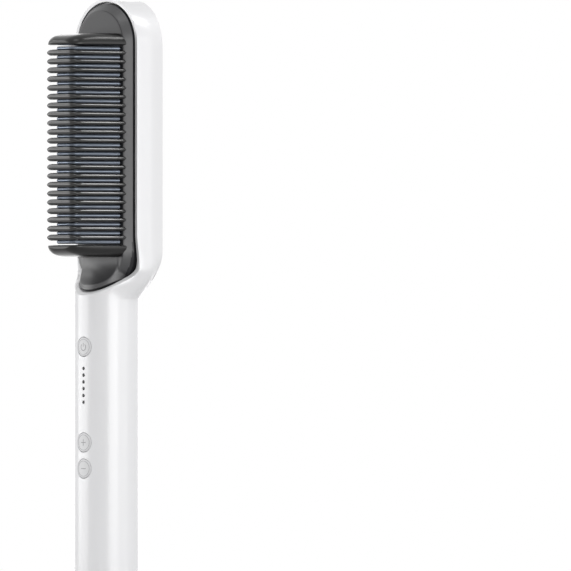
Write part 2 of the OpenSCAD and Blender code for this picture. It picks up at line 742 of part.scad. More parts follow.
// ---- Buttons ----
// A button's cap with the handle's own curve, its retaining flange and the stem that meets the switch.
module button_body(z) {
    intersection() {
        translate([0, -handle_r - 1, z]) rotate([-90, 0, 0])
            cylinder(r = button_r, h = handle_r + 1 + boss_y + flange_gap + 0.4);
        translate([0, 0, z - 8]) cylinder(r = handle_r + button_stand, h = 16);
    }
    translate([0, boss_y + flange_gap, z]) rotate([-90, 0, 0]) {
        cylinder(r = button_r + 0.9, h = 0.8);
        cylinder(r = 1.6, h = plunger_y - boss_y - flange_gap);
    }
}

module switch_plunger(z) {
    color("black") translate([0, plunger_y, z]) rotate([-90, 0, 0])
        cylinder(r = plunger_r, h = 1.8);
}

module power_button() { color("gainsboro") button_body(power_z); }
module plus_button() { color("gainsboro") button_body(plus_z); }
module minus_button() { color("gainsboro") button_body(minus_z); }
module power_plunger() { switch_plunger(power_z); }
module plus_plunger() { switch_plunger(plus_z); }
module minus_plunger() { switch_plunger(minus_z); }

main_housing();
comb_guard();
heater_comb();
insulation_film();
ptc_heaters();
electrode_strips();
heater_clamp();
thermal_fuse();
temperature_sensor();
heat_shield();
shield_screws();
rear_ring();
rear_panel();
light_guide();
indicator_leds();
control_board();
board_carrier();
board_screws();
power_switch();
plus_switch();
minus_switch();
film_capacitor();
triac();
choke();
microcontroller();
lead_terminal();
heater_leads();
sensor_leads();
mains_leads();
contact_springs();
end_cap();
swivel_retainer();
power_button();
power_plunger();
plus_button();
plus_plunger();
minus_button();
minus_plunger();
cord_swivel();
slip_rings();
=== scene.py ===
"""Looks of a hot comb: white shell, guard comb, metal comb, rear trim, buttons and tail.

Every length in the classes is in millimetres in the part's own frame: Z runs up the handle from the
tail face, the fins point to -Y and +X is to the right from the front. Meshes are written in metres.
"""

import logging
from dataclasses import dataclass, field
from enum import Enum
from typing import Optional, Sequence

import bmesh
import bpy
import numpy as np
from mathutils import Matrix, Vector

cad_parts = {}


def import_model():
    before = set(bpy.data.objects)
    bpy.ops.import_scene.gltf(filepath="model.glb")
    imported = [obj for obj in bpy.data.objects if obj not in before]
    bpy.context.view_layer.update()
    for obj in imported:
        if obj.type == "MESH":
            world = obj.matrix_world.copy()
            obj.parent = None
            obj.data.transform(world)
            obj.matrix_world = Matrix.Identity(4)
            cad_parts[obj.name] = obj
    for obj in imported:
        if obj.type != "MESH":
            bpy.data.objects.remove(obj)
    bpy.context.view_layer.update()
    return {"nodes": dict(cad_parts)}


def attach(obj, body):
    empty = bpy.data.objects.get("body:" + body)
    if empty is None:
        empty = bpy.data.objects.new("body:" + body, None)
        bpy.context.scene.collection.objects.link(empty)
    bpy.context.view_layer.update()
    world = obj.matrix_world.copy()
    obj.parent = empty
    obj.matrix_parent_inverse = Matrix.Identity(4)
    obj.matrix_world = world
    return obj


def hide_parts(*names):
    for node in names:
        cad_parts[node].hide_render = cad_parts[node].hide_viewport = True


logging.basicConfig(level=logging.INFO, format="%(message)s")
LOG = logging.getLogger("hot_comb")
MM = 0.001
TINY = 1e-6
Array = np.ndarray


# ---- Small functions on arrays ----
def smooth(t: Array) -> Array:
    """Smooth step: 3 t squared less 2 t cubed, with t held between 0 and 1."""
    c = np.clip(t, 0.0, 1.0)
    return c * c * (3.0 - 2.0 * c)


def mix(a: Array, b: Array, t: Array) -> Array:
    """Straight mix: a plus t times the way from a to b."""
    return a + (b - a) * t


def sind(a: Array) -> Array:
    """Sine of an angle in degrees."""
    return np.sin(np.radians(a))


def cosd(a: Array) -> Array:
    """Cosine of an angle in degrees."""
    return np.cos(np.radians(a))


def soft_min(a: Array, b: Array, width: float) -> Array:
    """Lesser of two arrays with a rounded change-over.

    Half the sum less half the root of the squared difference plus width squared.

    Args:
        a: first values.
        b: second values.
        width: size of the rounding, in the values' unit.

    Returns:
        The rounded minimum.
    """
    return 0.5 * (a + b - np.sqrt((a - b) ** 2 + width * width))


def soft_max(a: Array, b: Array, width: float) -> Array:
    """Greater of two arrays, rounded: minus the soft minimum of their negatives."""
    return -soft_min(-a, -b, width)


def runs(stops: Sequence[float], steps: Sequence[int]) -> Array:
    """Numbers from the first stop to the last, in even steps between one stop and the next.

    Args:
        stops: ends of the runs.
        steps: number of steps in each run.

    Returns:
        The numbers, each stop once.
    """
    parts = [np.linspace(a, b, n + 1)[1:] for a, b, n in zip(stops[:-1], stops[1:], steps)]
    return np.concatenate([[float(stops[0])], *parts])


def at_depth(xz: Array, y: Array) -> Array:
    """Points whose half-width and height come from the last axis of xz, at depth y."""
    return np.stack([xz[..., 0], np.broadcast_to(y, xz.shape[:-1]), xz[..., 1]], -1)


def turned(profile: Sequence, steps: int) -> tuple:
    """Rings of a profile about an axis: r cos a and r sin a across it, and the place along it.

    Args:
        profile: radius and place along the axis of each ring.
        steps: points round a ring.

    Returns:
        Three grids with a row for each ring: both coordinates across the axis, and that along it.
    """
    a = np.linspace(0, 360, steps + 1)[:-1]
    r, along = np.array(profile, float).T[..., None]
    return r * cosd(a), r * sind(a), np.repeat(along, steps, 1)


def grid_faces(rows: int, cols: int, wrap: bool = False, keep: Optional[Array] = None) -> Array:
    """Quads of a grid of points numbered row by row.

    Each quad joins point (j, i) to (j, i + 1), (j + 1, i + 1) and (j + 1, i).

    Args:
        rows: number of rows.
        cols: number of points in a row.
        wrap: True joins the last column to the first.
        keep: mask of the quads to keep, one value a quad, or None for all.

    Returns:
        Point numbers, four a face.
    """
    j, i = np.meshgrid(np.arange(rows - 1), np.arange(cols if wrap else cols - 1), indexing="ij")
    k = (i + 1) % cols
    quads = np.stack([j * cols + i, j * cols + k, (j + 1) * cols + k, (j + 1) * cols + i], -1)
    return quads.reshape(-1, 4) if keep is None else quads[keep]


@dataclass
class MeshData:
    """Points and quads being gathered for one piece."""

    points: list = field(default_factory=list)
    faces: list = field(default_factory=list)
    count: int = 0

    def add(self, grid: Array, wrap: bool = False, flip: bool = False,
            keep: Optional[Array] = None) -> None:
        """Adds a grid of points and its quads.

        Args:
            grid: rows by columns by 3 array of points in millimetres.
            wrap: True joins the last column to the first.
            flip: True turns the faces round.
            keep: mask of the quads to keep.
        """
        rows, cols = grid.shape[:2]
        quads = grid_faces(rows, cols, wrap, keep) + self.count
        self.points.append(grid.reshape(-1, 3))
        self.faces.append(quads[:, ::-1] if flip else quads)
        self.count += rows * cols

    def both_sides(self, grid: Array, flip: bool = False, keep: Optional[Array] = None) -> None:
        """Adds a grid and its mirror image in X, the image with its faces turned round."""
        self.add(grid, flip=flip, keep=keep)
        self.add(grid * np.array([-1.0, 1.0, 1.0]), flip=not flip, keep=keep)


# ---- Finishes ----
def fill(tree: bpy.types.NodeTree, node: bpy.types.Node, inputs: dict) -> bpy.types.Node:
    """Fills inputs of a node.

    Args:
        tree: the tree that holds the node.
        node: the node.
        inputs: a value, or a socket to link from, for each input's name or number.

    Returns:
        The node.
    """
    for key, source in inputs.items():
        if isinstance(source, bpy.types.NodeSocket):
            tree.links.new(source, node.inputs[key])
        else:
            node.inputs[key].default_value = source
    return node


def combine(tree: bpy.types.NodeTree, operation: str, first: bpy.types.NodeSocket,
            second: bpy.types.NodeSocket) -> bpy.types.NodeSocket:
    """Adds a Math node on two sockets and returns its result."""
    node = tree.nodes.new("ShaderNodeMath")
    node.operation = operation
    return fill(tree, node, {0: first, 1: second}).outputs[0]


class Grain(Enum):
    """How a finish's fine surface runs."""

    EVEN = "even"
    BRUSHED = "brushed"
    WOVEN = "woven"


@dataclass(frozen=True)
class Finish:
    """A moulded, coated or metal surface with fine procedural variation."""

    name: str
    colour: tuple
    shade: tuple
    roughness: float
    rough_span: float = 0.06
    metallic: float = 0.0
    coat: float = 0.0
    coat_rough: float = 0.08
    specular: float = 0.5
    grain: Grain = Grain.EVEN
    grain_mm: float = 0.35
    bump: float = 0.02
    cloud_mm: float = 14.0
    cloud_detail: float = 3.0
    grain_detail: float = 2.0
    weave_scale: float = 0.16
    brush_stretch: float = 0.06

    def material(self) -> bpy.types.Material:
        """Builds the node material.

        Two noises on Object coordinates: a wide one mixes the two colours, a fine one moves the
        roughness about its middle and gives the bump.

        Returns:
            The material.
        """
        mat = bpy.data.materials.new(self.name)
        mat.use_nodes = True
        tree = mat.node_tree
        coords = tree.nodes.new("ShaderNodeTexCoord").outputs["Object"]
        wide = self._noise(tree, coords, self.cloud_mm, self.cloud_detail)
        fine = self._fine(tree, coords)
        tint = tree.nodes.new("ShaderNodeMix")
        tint.data_type = "RGBA"
        fill(tree, tint, {"A": (*self.colour, 1.0), "B": (*self.shade, 1.0), "Factor": wide})
        rough = fill(tree, tree.nodes.new("ShaderNodeMapRange"), {
            "To Min": self.roughness - self.rough_span,
            "To Max": self.roughness + self.rough_span, "Value": fine})
        surface = {
            "Base Color": tint.outputs["Result"], "Roughness": rough.outputs["Result"],
            "Metallic": self.metallic, "Coat Weight": self.coat, "Coat Roughness": self.coat_rough,
            "Specular IOR Level": self.specular}
        if self.bump > 0.0:
            bump = fill(tree, tree.nodes.new("ShaderNodeBump"), {
                "Strength": 1.0, "Distance": self.bump * MM, "Height": fine})
            surface["Normal"] = bump.outputs["Normal"]
        fill(tree, tree.nodes["Principled BSDF"], surface)
        return mat

    @staticmethod
    def _noise(tree: bpy.types.NodeTree, coords: bpy.types.NodeSocket, size_mm: float,
               detail: float) -> bpy.types.NodeSocket:
        """Adds a noise whose features are about size_mm wide and returns its factor."""
        return fill(tree, tree.nodes.new("ShaderNodeTexNoise"), {
            "Scale": 1.0 / (size_mm * MM), "Detail": detail, "Vector": coords}).outputs["Fac"]

    def _fine(self, tree: bpy.types.NodeTree, coords: bpy.types.NodeSocket) -> bpy.types.NodeSocket:
        """Adds the fine pattern: even noise, noise drawn out along Z, or two crossed waves."""
        if self.grain is Grain.WOVEN:
            waves = []
            for direction in ("X", "Z"):
                wave = tree.nodes.new("ShaderNodeTexWave")
                wave.bands_direction = direction
                scale = self.weave_scale / (self.grain_mm * MM)
                waves.append(fill(tree, wave, {"Scale": scale, "Vector": coords}).outputs["Fac"])
            return combine(tree, "MULTIPLY", *waves)
        if self.grain is Grain.BRUSHED:
            coords = fill(tree, tree.nodes.new("ShaderNodeMapping"), {
                "Scale": (1.0, 1.0, self.brush_stretch), "Vector": coords}).outputs["Vector"]
        return self._noise(tree, coords, self.grain_mm, self.grain_detail)


class Palette:
    """The finishes of the part, each made into a material once."""

    SHELL = Finish("shell_gloss_white", (0.83, 0.83, 0.84), (0.815, 0.815, 0.83), 0.3, 0.02,
                   coat=0.5, coat_rough=0.22, bump=0.0015)
    PANEL = Finish("panel_gloss_white", (0.84, 0.84, 0.85), (0.82, 0.82, 0.835), 0.22, 0.02,
                   coat=0.5, coat_rough=0.06, bump=0.003)
    GUARD = Finish("guard_charcoal", (0.023, 0.023, 0.025), (0.018, 0.018, 0.020), 0.30, 0.04,
                   specular=0.26, bump=0.004, grain_mm=0.25)
    # Painted light: a lighter copy of the guard's charcoal for the sloped border and the scoop,
    # standing in for the light they catch.
    GUARD_LIT_COPY = Finish("guard_rim_painted_light", (0.042, 0.042, 0.044), (0.036, 0.036, 0.038), 0.42,
                       0.04, specular=0.68, bump=0.004, grain_mm=0.25)
    GUARD_FIN = Finish("guard_fin_charcoal", (0.005, 0.0048, 0.0048), (0.003, 0.003, 0.003), 0.2,
                       0.02, specular=0.6, bump=0.002, grain_mm=0.25)
    GUARD_END = Finish("guard_end_charcoal", (0.006, 0.0058, 0.0058), (0.004, 0.004, 0.004), 0.28,
                       0.02, specular=0.36, bump=0.002, grain_mm=0.25)
    COMB = Finish("comb_blue_coat", (0.46, 0.52, 0.62), (0.40, 0.46, 0.56), 0.26, 0.03,
                  metallic=0.7, specular=0.4, bump=0.003, cloud_mm=9.0)
    RING = Finish("ring_satin_metal", (0.25, 0.25, 0.26), (0.22, 0.22, 0.23), 0.3, 0.05,
                  metallic=0.9, grain=Grain.BRUSHED, bump=0.004)
    BUTTON = Finish("button_grey", (0.70, 0.70, 0.71), (0.68, 0.68, 0.69), 0.38, 0.04, bump=0.006)
    SYMBOL = Finish("symbol_grey", (0.33, 0.33, 0.34), (0.30, 0.30, 0.31), 0.4, 0.04, bump=0.0)
    WINDOW = Finish("window_black", (0.008, 0.008, 0.009), (0.006, 0.006, 0.007), 0.2, 0.03,
                    specular=0.3, bump=0.0)
    # Painted shade: near-black for the ring's faces deep in the gap beside the panel, where the
    # gap's shadow falls.
    GAP_SHADE = Finish("gap_painted_shade", (0.012, 0.012, 0.012), (0.008, 0.008, 0.008), 0.6, 0.05, bump=0.0)
    GLAND = Finish("gland_rubber", (0.045, 0.045, 0.047), (0.035, 0.035, 0.037), 0.55, bump=0.012,
                   grain_mm=0.3)
    TAIL = Finish("tail_white", (0.84, 0.84, 0.85), (0.82, 0.82, 0.835), 0.32, 0.03, coat=0.2,
                  bump=0.004)
    NYLON = Finish("nylon_grey", (0.52, 0.52, 0.51), (0.47, 0.47, 0.46), 0.5, 0.05, bump=0.01)
    BLACK_PLASTIC = Finish("moulded_black", (0.03, 0.03, 0.032), (0.022, 0.022, 0.024), 0.45,
                           bump=0.01)
    WHITE_CERAMIC = Finish("ceramic_white", (0.78, 0.77, 0.74), (0.72, 0.70, 0.66), 0.55,
                           bump=0.015)
    HEATER_STONE = Finish("heater_stone", (0.14, 0.135, 0.13), (0.10, 0.098, 0.094), 0.75, 0.08,
                          bump=0.03, grain_mm=0.2)
    FILM = Finish("amber_film", (0.62, 0.28, 0.04), (0.52, 0.21, 0.03), 0.25, coat=0.3, bump=0.003)
    STEEL = Finish("bright_steel", (0.62, 0.62, 0.63), (0.55, 0.55, 0.56), 0.28, 0.08,
                   metallic=1.0, grain=Grain.BRUSHED, bump=0.006)
    ALUMINIUM = Finish("aluminium_plate", (0.68, 0.69, 0.70), (0.60, 0.61, 0.62), 0.36, 0.08,
                       metallic=1.0, grain=Grain.BRUSHED, bump=0.01)
    BRASS = Finish("brass_spring", (0.72, 0.52, 0.20), (0.62, 0.43, 0.16), 0.3, 0.08,
                   metallic=1.0, bump=0.006)
    COPPER = Finish("copper_winding", (0.70, 0.32, 0.14), (0.56, 0.24, 0.10), 0.35, 0.08,
                    metallic=0.9, grain=Grain.BRUSHED, bump=0.03)
    FIBREGLASS = Finish("board_green", (0.03, 0.16, 0.06), (0.02, 0.12, 0.045), 0.35, coat=0.4,
                        grain=Grain.WOVEN, grain_mm=0.5, bump=0.01)
    MICA = Finish("heat_board", (0.50, 0.42, 0.30), (0.42, 0.34, 0.23), 0.6, 0.08,
                  grain=Grain.WOVEN, grain_mm=0.6)
    CAPACITOR = Finish("capacitor_yellow", (0.70, 0.50, 0.06), (0.62, 0.43, 0.05), 0.4, 0.05,
                       bump=0.01)
    LEAD_RED = Finish("sleeve_red", (0.48, 0.06, 0.04), (0.40, 0.045, 0.03), 0.5,
                      grain=Grain.WOVEN, grain_mm=0.25)
    LEAD_IVORY = Finish("sleeve_ivory", (0.72, 0.68, 0.56), (0.64, 0.60, 0.48), 0.5,
                        grain=Grain.WOVEN, grain_mm=0.25)
    LEAD_BROWN = Finish("sleeve_brown", (0.20, 0.09, 0.04), (0.16, 0.07, 0.03), 0.45, bump=0.01)
    LENS = Finish("led_lens", (0.75, 0.72, 0.60), (0.70, 0.66, 0.52), 0.2, 0.04, coat=0.4,
                  bump=0.0)

    _made: dict = {}

    @classmethod
    def get(cls, finish: Finish) -> bpy.types.Material:
        """Returns the material of a finish, making it the first time."""
        if finish.name not in cls._made:
            cls._made[finish.name] = finish.material()
        return cls._made[finish.name]

    @classmethod
    def dress(cls, obj: bpy.types.Object, finish: Finish) -> None:
        """Gives an object one material for its whole surface."""
        obj.data.materials.clear()
        obj.data.materials.append(cls.get(finish))

    @classmethod
    def second(cls, obj: bpy.types.Object, finish: Finish, faces: Array) -> None:
        """Gives the masked faces of an object a second material."""
        obj.data.materials.append(cls.get(finish))
        obj.data.polygons.foreach_set("material_index", faces.astype(np.int32))


class Build:
    """Turns gathered points into Blender objects that sit at the origin."""

    @staticmethod
    def link(name: str, data: bpy.types.ID) -> bpy.types.Object:
        """Makes an object of a mesh, lamp or camera and puts it into the scene."""
        obj = bpy.data.objects.new(name, data)
        bpy.context.scene.collection.objects.link(obj)
        return obj

    @staticmethod
    def piece(name: str, data: MeshData, finish: Finish, sharp_deg: float,
              weld: float = 0.002) -> bpy.types.Object:
        """Makes a welded mesh object whose faces point outwards, in one finish.

        Args:
            name: the piece's name.
            data: its points and quads, in millimetres.
            finish: its finish.
            sharp_deg: an edge whose faces turn by more than this stays sharp.
            weld: points nearer than this, in millimetres, become one, and faces of no size go.

        Returns:
            The linked object.
        """
        points = np.concatenate(data.points) * MM
        mesh = bpy.data.meshes.new(name)
        mesh.from_pydata(points.tolist(), [], np.concatenate(data.faces).tolist())
        bm = bmesh.new()
        bm.from_mesh(mesh)
        bmesh.ops.remove_doubles(bm, verts=bm.verts, dist=weld * MM)
        bmesh.ops.recalc_face_normals(bm, faces=bm.faces)
        if bm.calc_volume(signed=True) < 0:
            bmesh.ops.reverse_faces(bm, faces=bm.faces)
        limit = np.radians(sharp_deg)
        open_edges = 0
        for edge in bm.edges:
            paired = len(edge.link_faces) == 2
            edge.smooth = bool(paired and edge.calc_face_angle(0.0) < limit)
            open_edges += not paired
        bm.to_mesh(mesh)
        bm.free()
        mesh.shade_smooth()
        mesh.update()
        if open_edges:
            LOG.warning("%s has %d open or crowded edges", name, open_edges)
        obj = Build.link(name, mesh)
        Palette.dress(obj, finish)
        return obj

    @staticmethod
    def place(piece: bpy.types.Object, body: str, node: str, slot: str) -> None:
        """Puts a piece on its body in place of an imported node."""
        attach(piece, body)
        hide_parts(node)
        LOG.info("%s: %d faces on %s", piece.name, len(piece.data.polygons), body)

    @staticmethod
    def centres(obj: bpy.types.Object) -> Array:
        """Middles of an object's faces in millimetres, as three rows x, y and z."""
        middles = np.empty(len(obj.data.polygons) * 3)
        obj.data.polygons.foreach_get("center", middles)
        return middles.reshape(-1, 3).T / MM


# ---- The form of the handle and head, which the shell, the trim and the buttons share ----
@dataclass(frozen=True)
class Form:
    """Outer skin of the handle, neck and head as a function of section angle and height.

    The angle runs from -90 in the middle of the front over 0 at the side to 90 in the middle of
    the back. Each rise and each tuck gives where it begins and the length it takes.
    """

    handle_r: float = 15.3
    wall: float = 2.3
    cap_len: float = 5.0
    top_z: float = 295.0
    head_r: float = 23.1
    crease_r: float = 20.9
    front_y: float = -0.7
    front_bow: float = 0.3
    back_y: float = 16.0
    crown: float = 2.1
    neck_z: float = 155.0
    head_z: float = 177.0
    low_z: float = 177.3
    opening_r: float = 19.4
    open_top_z: float = 274.3
    cavity_r: float = 20.8
    cavity_top_z: float = 272.2
    bulge_y: float = 8.5
    bulge_run: float = 5.4
    edge_inset: float = 0.2
    side_a: float = -45.0
    edge_a: float = 38.0
    flange_y: float = 3.2
    front_rise: tuple = (1.0, 13.0)
    side_rise: float = 17.0
    back_rise: tuple = (0.5, 21.5)
    ease_round: float = 1.2
    tuck: float = 1.8
    tuck_in: tuple = (160.5, 5.5)
    tuck_out: tuple = (168.0, 18.0)
    minus_z: float = 75.6
    plus_z: float = 87.8
    power_z: float = 132.4
    led_low: float = 106.6
    led_pitch: float = 3.15
    led_count: int = 6
    halvings: int = 26

    @property
    def bore_r(self) -> float:
        """Radius of the handle's bore."""
        return self.handle_r - self.wall

    @property
    def edge_r(self) -> float:
        """Half-width of the head at its back edge."""
        return self.head_r - self.edge_inset

    @property
    def crease_top_z(self) -> float:
        """Height of the centre of the crease's upper arc."""
        return self.top_z - self.crease_r

    @property
    def led_z(self) -> list:
        """Heights of the indicator windows."""
        return [self.led_low + i * self.led_pitch for i in range(self.led_count)]

    def side_r(self, y: Array) -> Array:
        """Half-width of the head's side at depth y.

        A parabola in front of the bulge from the crease, and a flatter one behind it to the edge.
        """
        ahead = (self.bulge_y - y) / (self.bulge_y - self.front_y)
        front = self.head_r - (self.head_r - self.crease_r) * ahead ** 2
        behind = np.minimum(1.0, ((y - self.bulge_y) / self.bulge_run) ** 2)
        back = self.head_r - (self.head_r - self.edge_r) * behind
        return np.where(y < self.bulge_y, front, back)

    def crown_y(self, x: Array) -> Array:
        """Depth of the crowned back at half-width x: a parabola from the middle to the edges."""
        return self.back_y - self.crown * (x / self.edge_r) ** 2

    def head_point(self, a: Array, f: Array) -> Array:
        """Point of the full head's section at angle a, f degrees round the upper arc.

        Front flat, then the side wall whose depth runs evenly with the angle, then the crown.
        """
        a, f = np.broadcast_arrays(np.asarray(a, float), np.asarray(f, float))
        u = cosd(a) / cosd(self.side_a)
        front = np.stack([self.crease_r * cosd(f) * u, self.front_y - self.front_bow * (1 - u * u),
                          self.top_z - self.crease_r * (1 - sind(f))], -1)
        share = (a - self.side_a) / (self.edge_a - self.side_a)
        y = mix(self.front_y, self.crown_y(self.edge_r * cosd(f)), share)
        r = self.side_r(y)
        side = np.stack([r * cosd(f), y, self.top_z - r * (1 - sind(f))], -1)
        x = self.edge_r * cosd(f) * cosd(a) / cosd(self.edge_a)
        back = np.stack([x, self.crown_y(x), self.top_z - self.edge_r * (1 - sind(f))], -1)
        a = a[..., None]
        return np.where(a <= self.side_a, front, np.where(a < self.edge_a, side, back))

    def _ease(self, z: Array, start: float, span: float) -> Array:
        """Quarter sine that rises from start over span, with a rounded beginning."""
        d = z - start
        soft = (d + np.sqrt(d * d + self.ease_round * self.ease_round)) / 2
        return sind(90 * np.clip(soft / span, 0, 1))

    def blend(self, a: Array, z: Array) -> Array:
        """Share of the head's section at height z, which differs between front, side and back."""
        front = smooth((z - self.neck_z - self.front_rise[0]) / self.front_rise[1])
        side = self._ease(z, self.neck_z, self.side_rise)
        back = self._ease(z, self.neck_z + self.back_rise[0], self.back_rise[1])
        ahead = mix(front, side, smooth((a - self.side_a) / -self.side_a))
        return np.where(a < 0, ahead, mix(side, back, smooth(a / self.edge_a)))

    def neck_point(self, a: Array, z: Array) -> Array:
        """Point of the skin below the head: the handle's circle mixed with the head's section."""
        a, z = np.broadcast_arrays(np.asarray(a, float), np.asarray(z, float))
        head = self.head_point(a, 0.0)
        w = self.blend(a, z)
        x = mix(self.handle_r * cosd(a), head[..., 0], w)
        return np.stack([x, mix(self.handle_r * sind(a), head[..., 1], w), z], -1)

    def angle_at(self, x: Array, z: Array, low: float, high: float) -> Array:
        """Section angle at which the skin has half-width x, found by halving the interval.

        Args:
            x: half-widths.
            z: heights.
            low: lower end of the interval, -90 for the front half and 0 for the back.
            high: upper end, 0 for the front half and 90 for the back.

        Returns:
            Section angles in degrees.
        """
        lo, hi = np.full(np.shape(x), float(low)), np.full(np.shape(x), float(high))
        for _ in range(self.halvings):
            mid = (lo + hi) / 2
            over = self.neck_point(mid, z)[..., 0] > x
            take_low = over if low < 0 else ~over
            hi = np.where(take_low, mid, hi)
            lo = np.where(take_low, lo, mid)
        return (lo + hi) / 2

    def tuck_at(self, z: Array) -> Array:
        """How far the front edge lies back: fully beside the scoop, nought at lip and fins."""
        rise, fall = ((z - start) / span for start, span in (self.tuck_in, self.tuck_out))
        return self.tuck * smooth(rise) * (1 - smooth(fall))

    def skin_back(self, x: Array, z: Array) -> Array:
        """Depth of the back of the skin at half-width x and height z."""
        x = np.abs(x)
        neck = self.neck_point(self.angle_at(x, z, 0, 90), z)[..., 1]
        return np.where(z >= self.head_z, self.crown_y(x), neck)


@dataclass(frozen=True)
class Stadium:
    """An upright outline with round ends: half-width, and heights of the two arcs' centres."""

    r: float
    low: float
    top: float

    @property
    def foot(self) -> float:
        """Height of the outline's lowest point."""
        return self.low - self.r

    def at(self, path: Array) -> Array:
        """Points of the right half of the outline.

        The path runs 0 to 1 round the lower arc, 1 to 2 up the straight side and 2 to 3 round the
        upper arc: (r sin, low - r cos), (r, between low and top) and (r cos, top + r sin).

        Args:
            path: places along the outline.

        Returns:
            Half-width and height of each place, in the last axis.
        """
        p = np.asarray(path, float)
        lo, mid, up = np.clip(p, 0, 1) * 90, np.clip(p - 1, 0, 1), np.clip(p - 2, 0, 1) * 90
        x = np.where(p < 1, self.r * sind(lo), self.r * cosd(up))
        z = mix(self.low, self.top, mid) + self.r * sind(up)
        return np.stack([x, np.where(p < 1, self.low - self.r * cosd(lo), z)], -1)

    def path_of_height(self, z: Array) -> Array:
        """Place along the outline of a height below the upper arc, and 0 under its foot.

        Below the low centre it is the angle whose cosine is (low - z) / r, over a quarter turn;
        above, 1 plus the share of the straight side.
        """
        low = np.degrees(np.arccos(np.clip((self.low - z) / self.r, 0, 1))) / 90
        return np.where(z < self.low, low, 1 + (z - self.low) / (self.top - self.low))


# ---- Shell ----
@dataclass(frozen=True)
class Hole:
    """A round hole through the handle's front, along +Y."""

    z: float
    r: float
    reach: float

    def warp(self, x: Array, z: Array) -> tuple:
        """Moves grid points so that the square round the hole becomes its circle.

        With s the greater of the two distances from the middle and d the true one, a point inside
        the square of half-size r moves by s over d, and from there to reach the move fades out.

        Args:
            x: half-widths of the grid.
            z: heights of the grid.

        Returns:
            New half-widths and heights.
        """
        v = z - self.z
        s = np.maximum(np.abs(x), np.abs(v))
        d = np.maximum(np.hypot(x, v), TINY)
        fade = np.clip((s - self.r) / (self.reach - self.r), 0, 1)
        k = np.where((s < TINY) | (s >= self.reach), 1.0, mix(s / d, 1.0, fade))
        return x * k, self.z + v * k


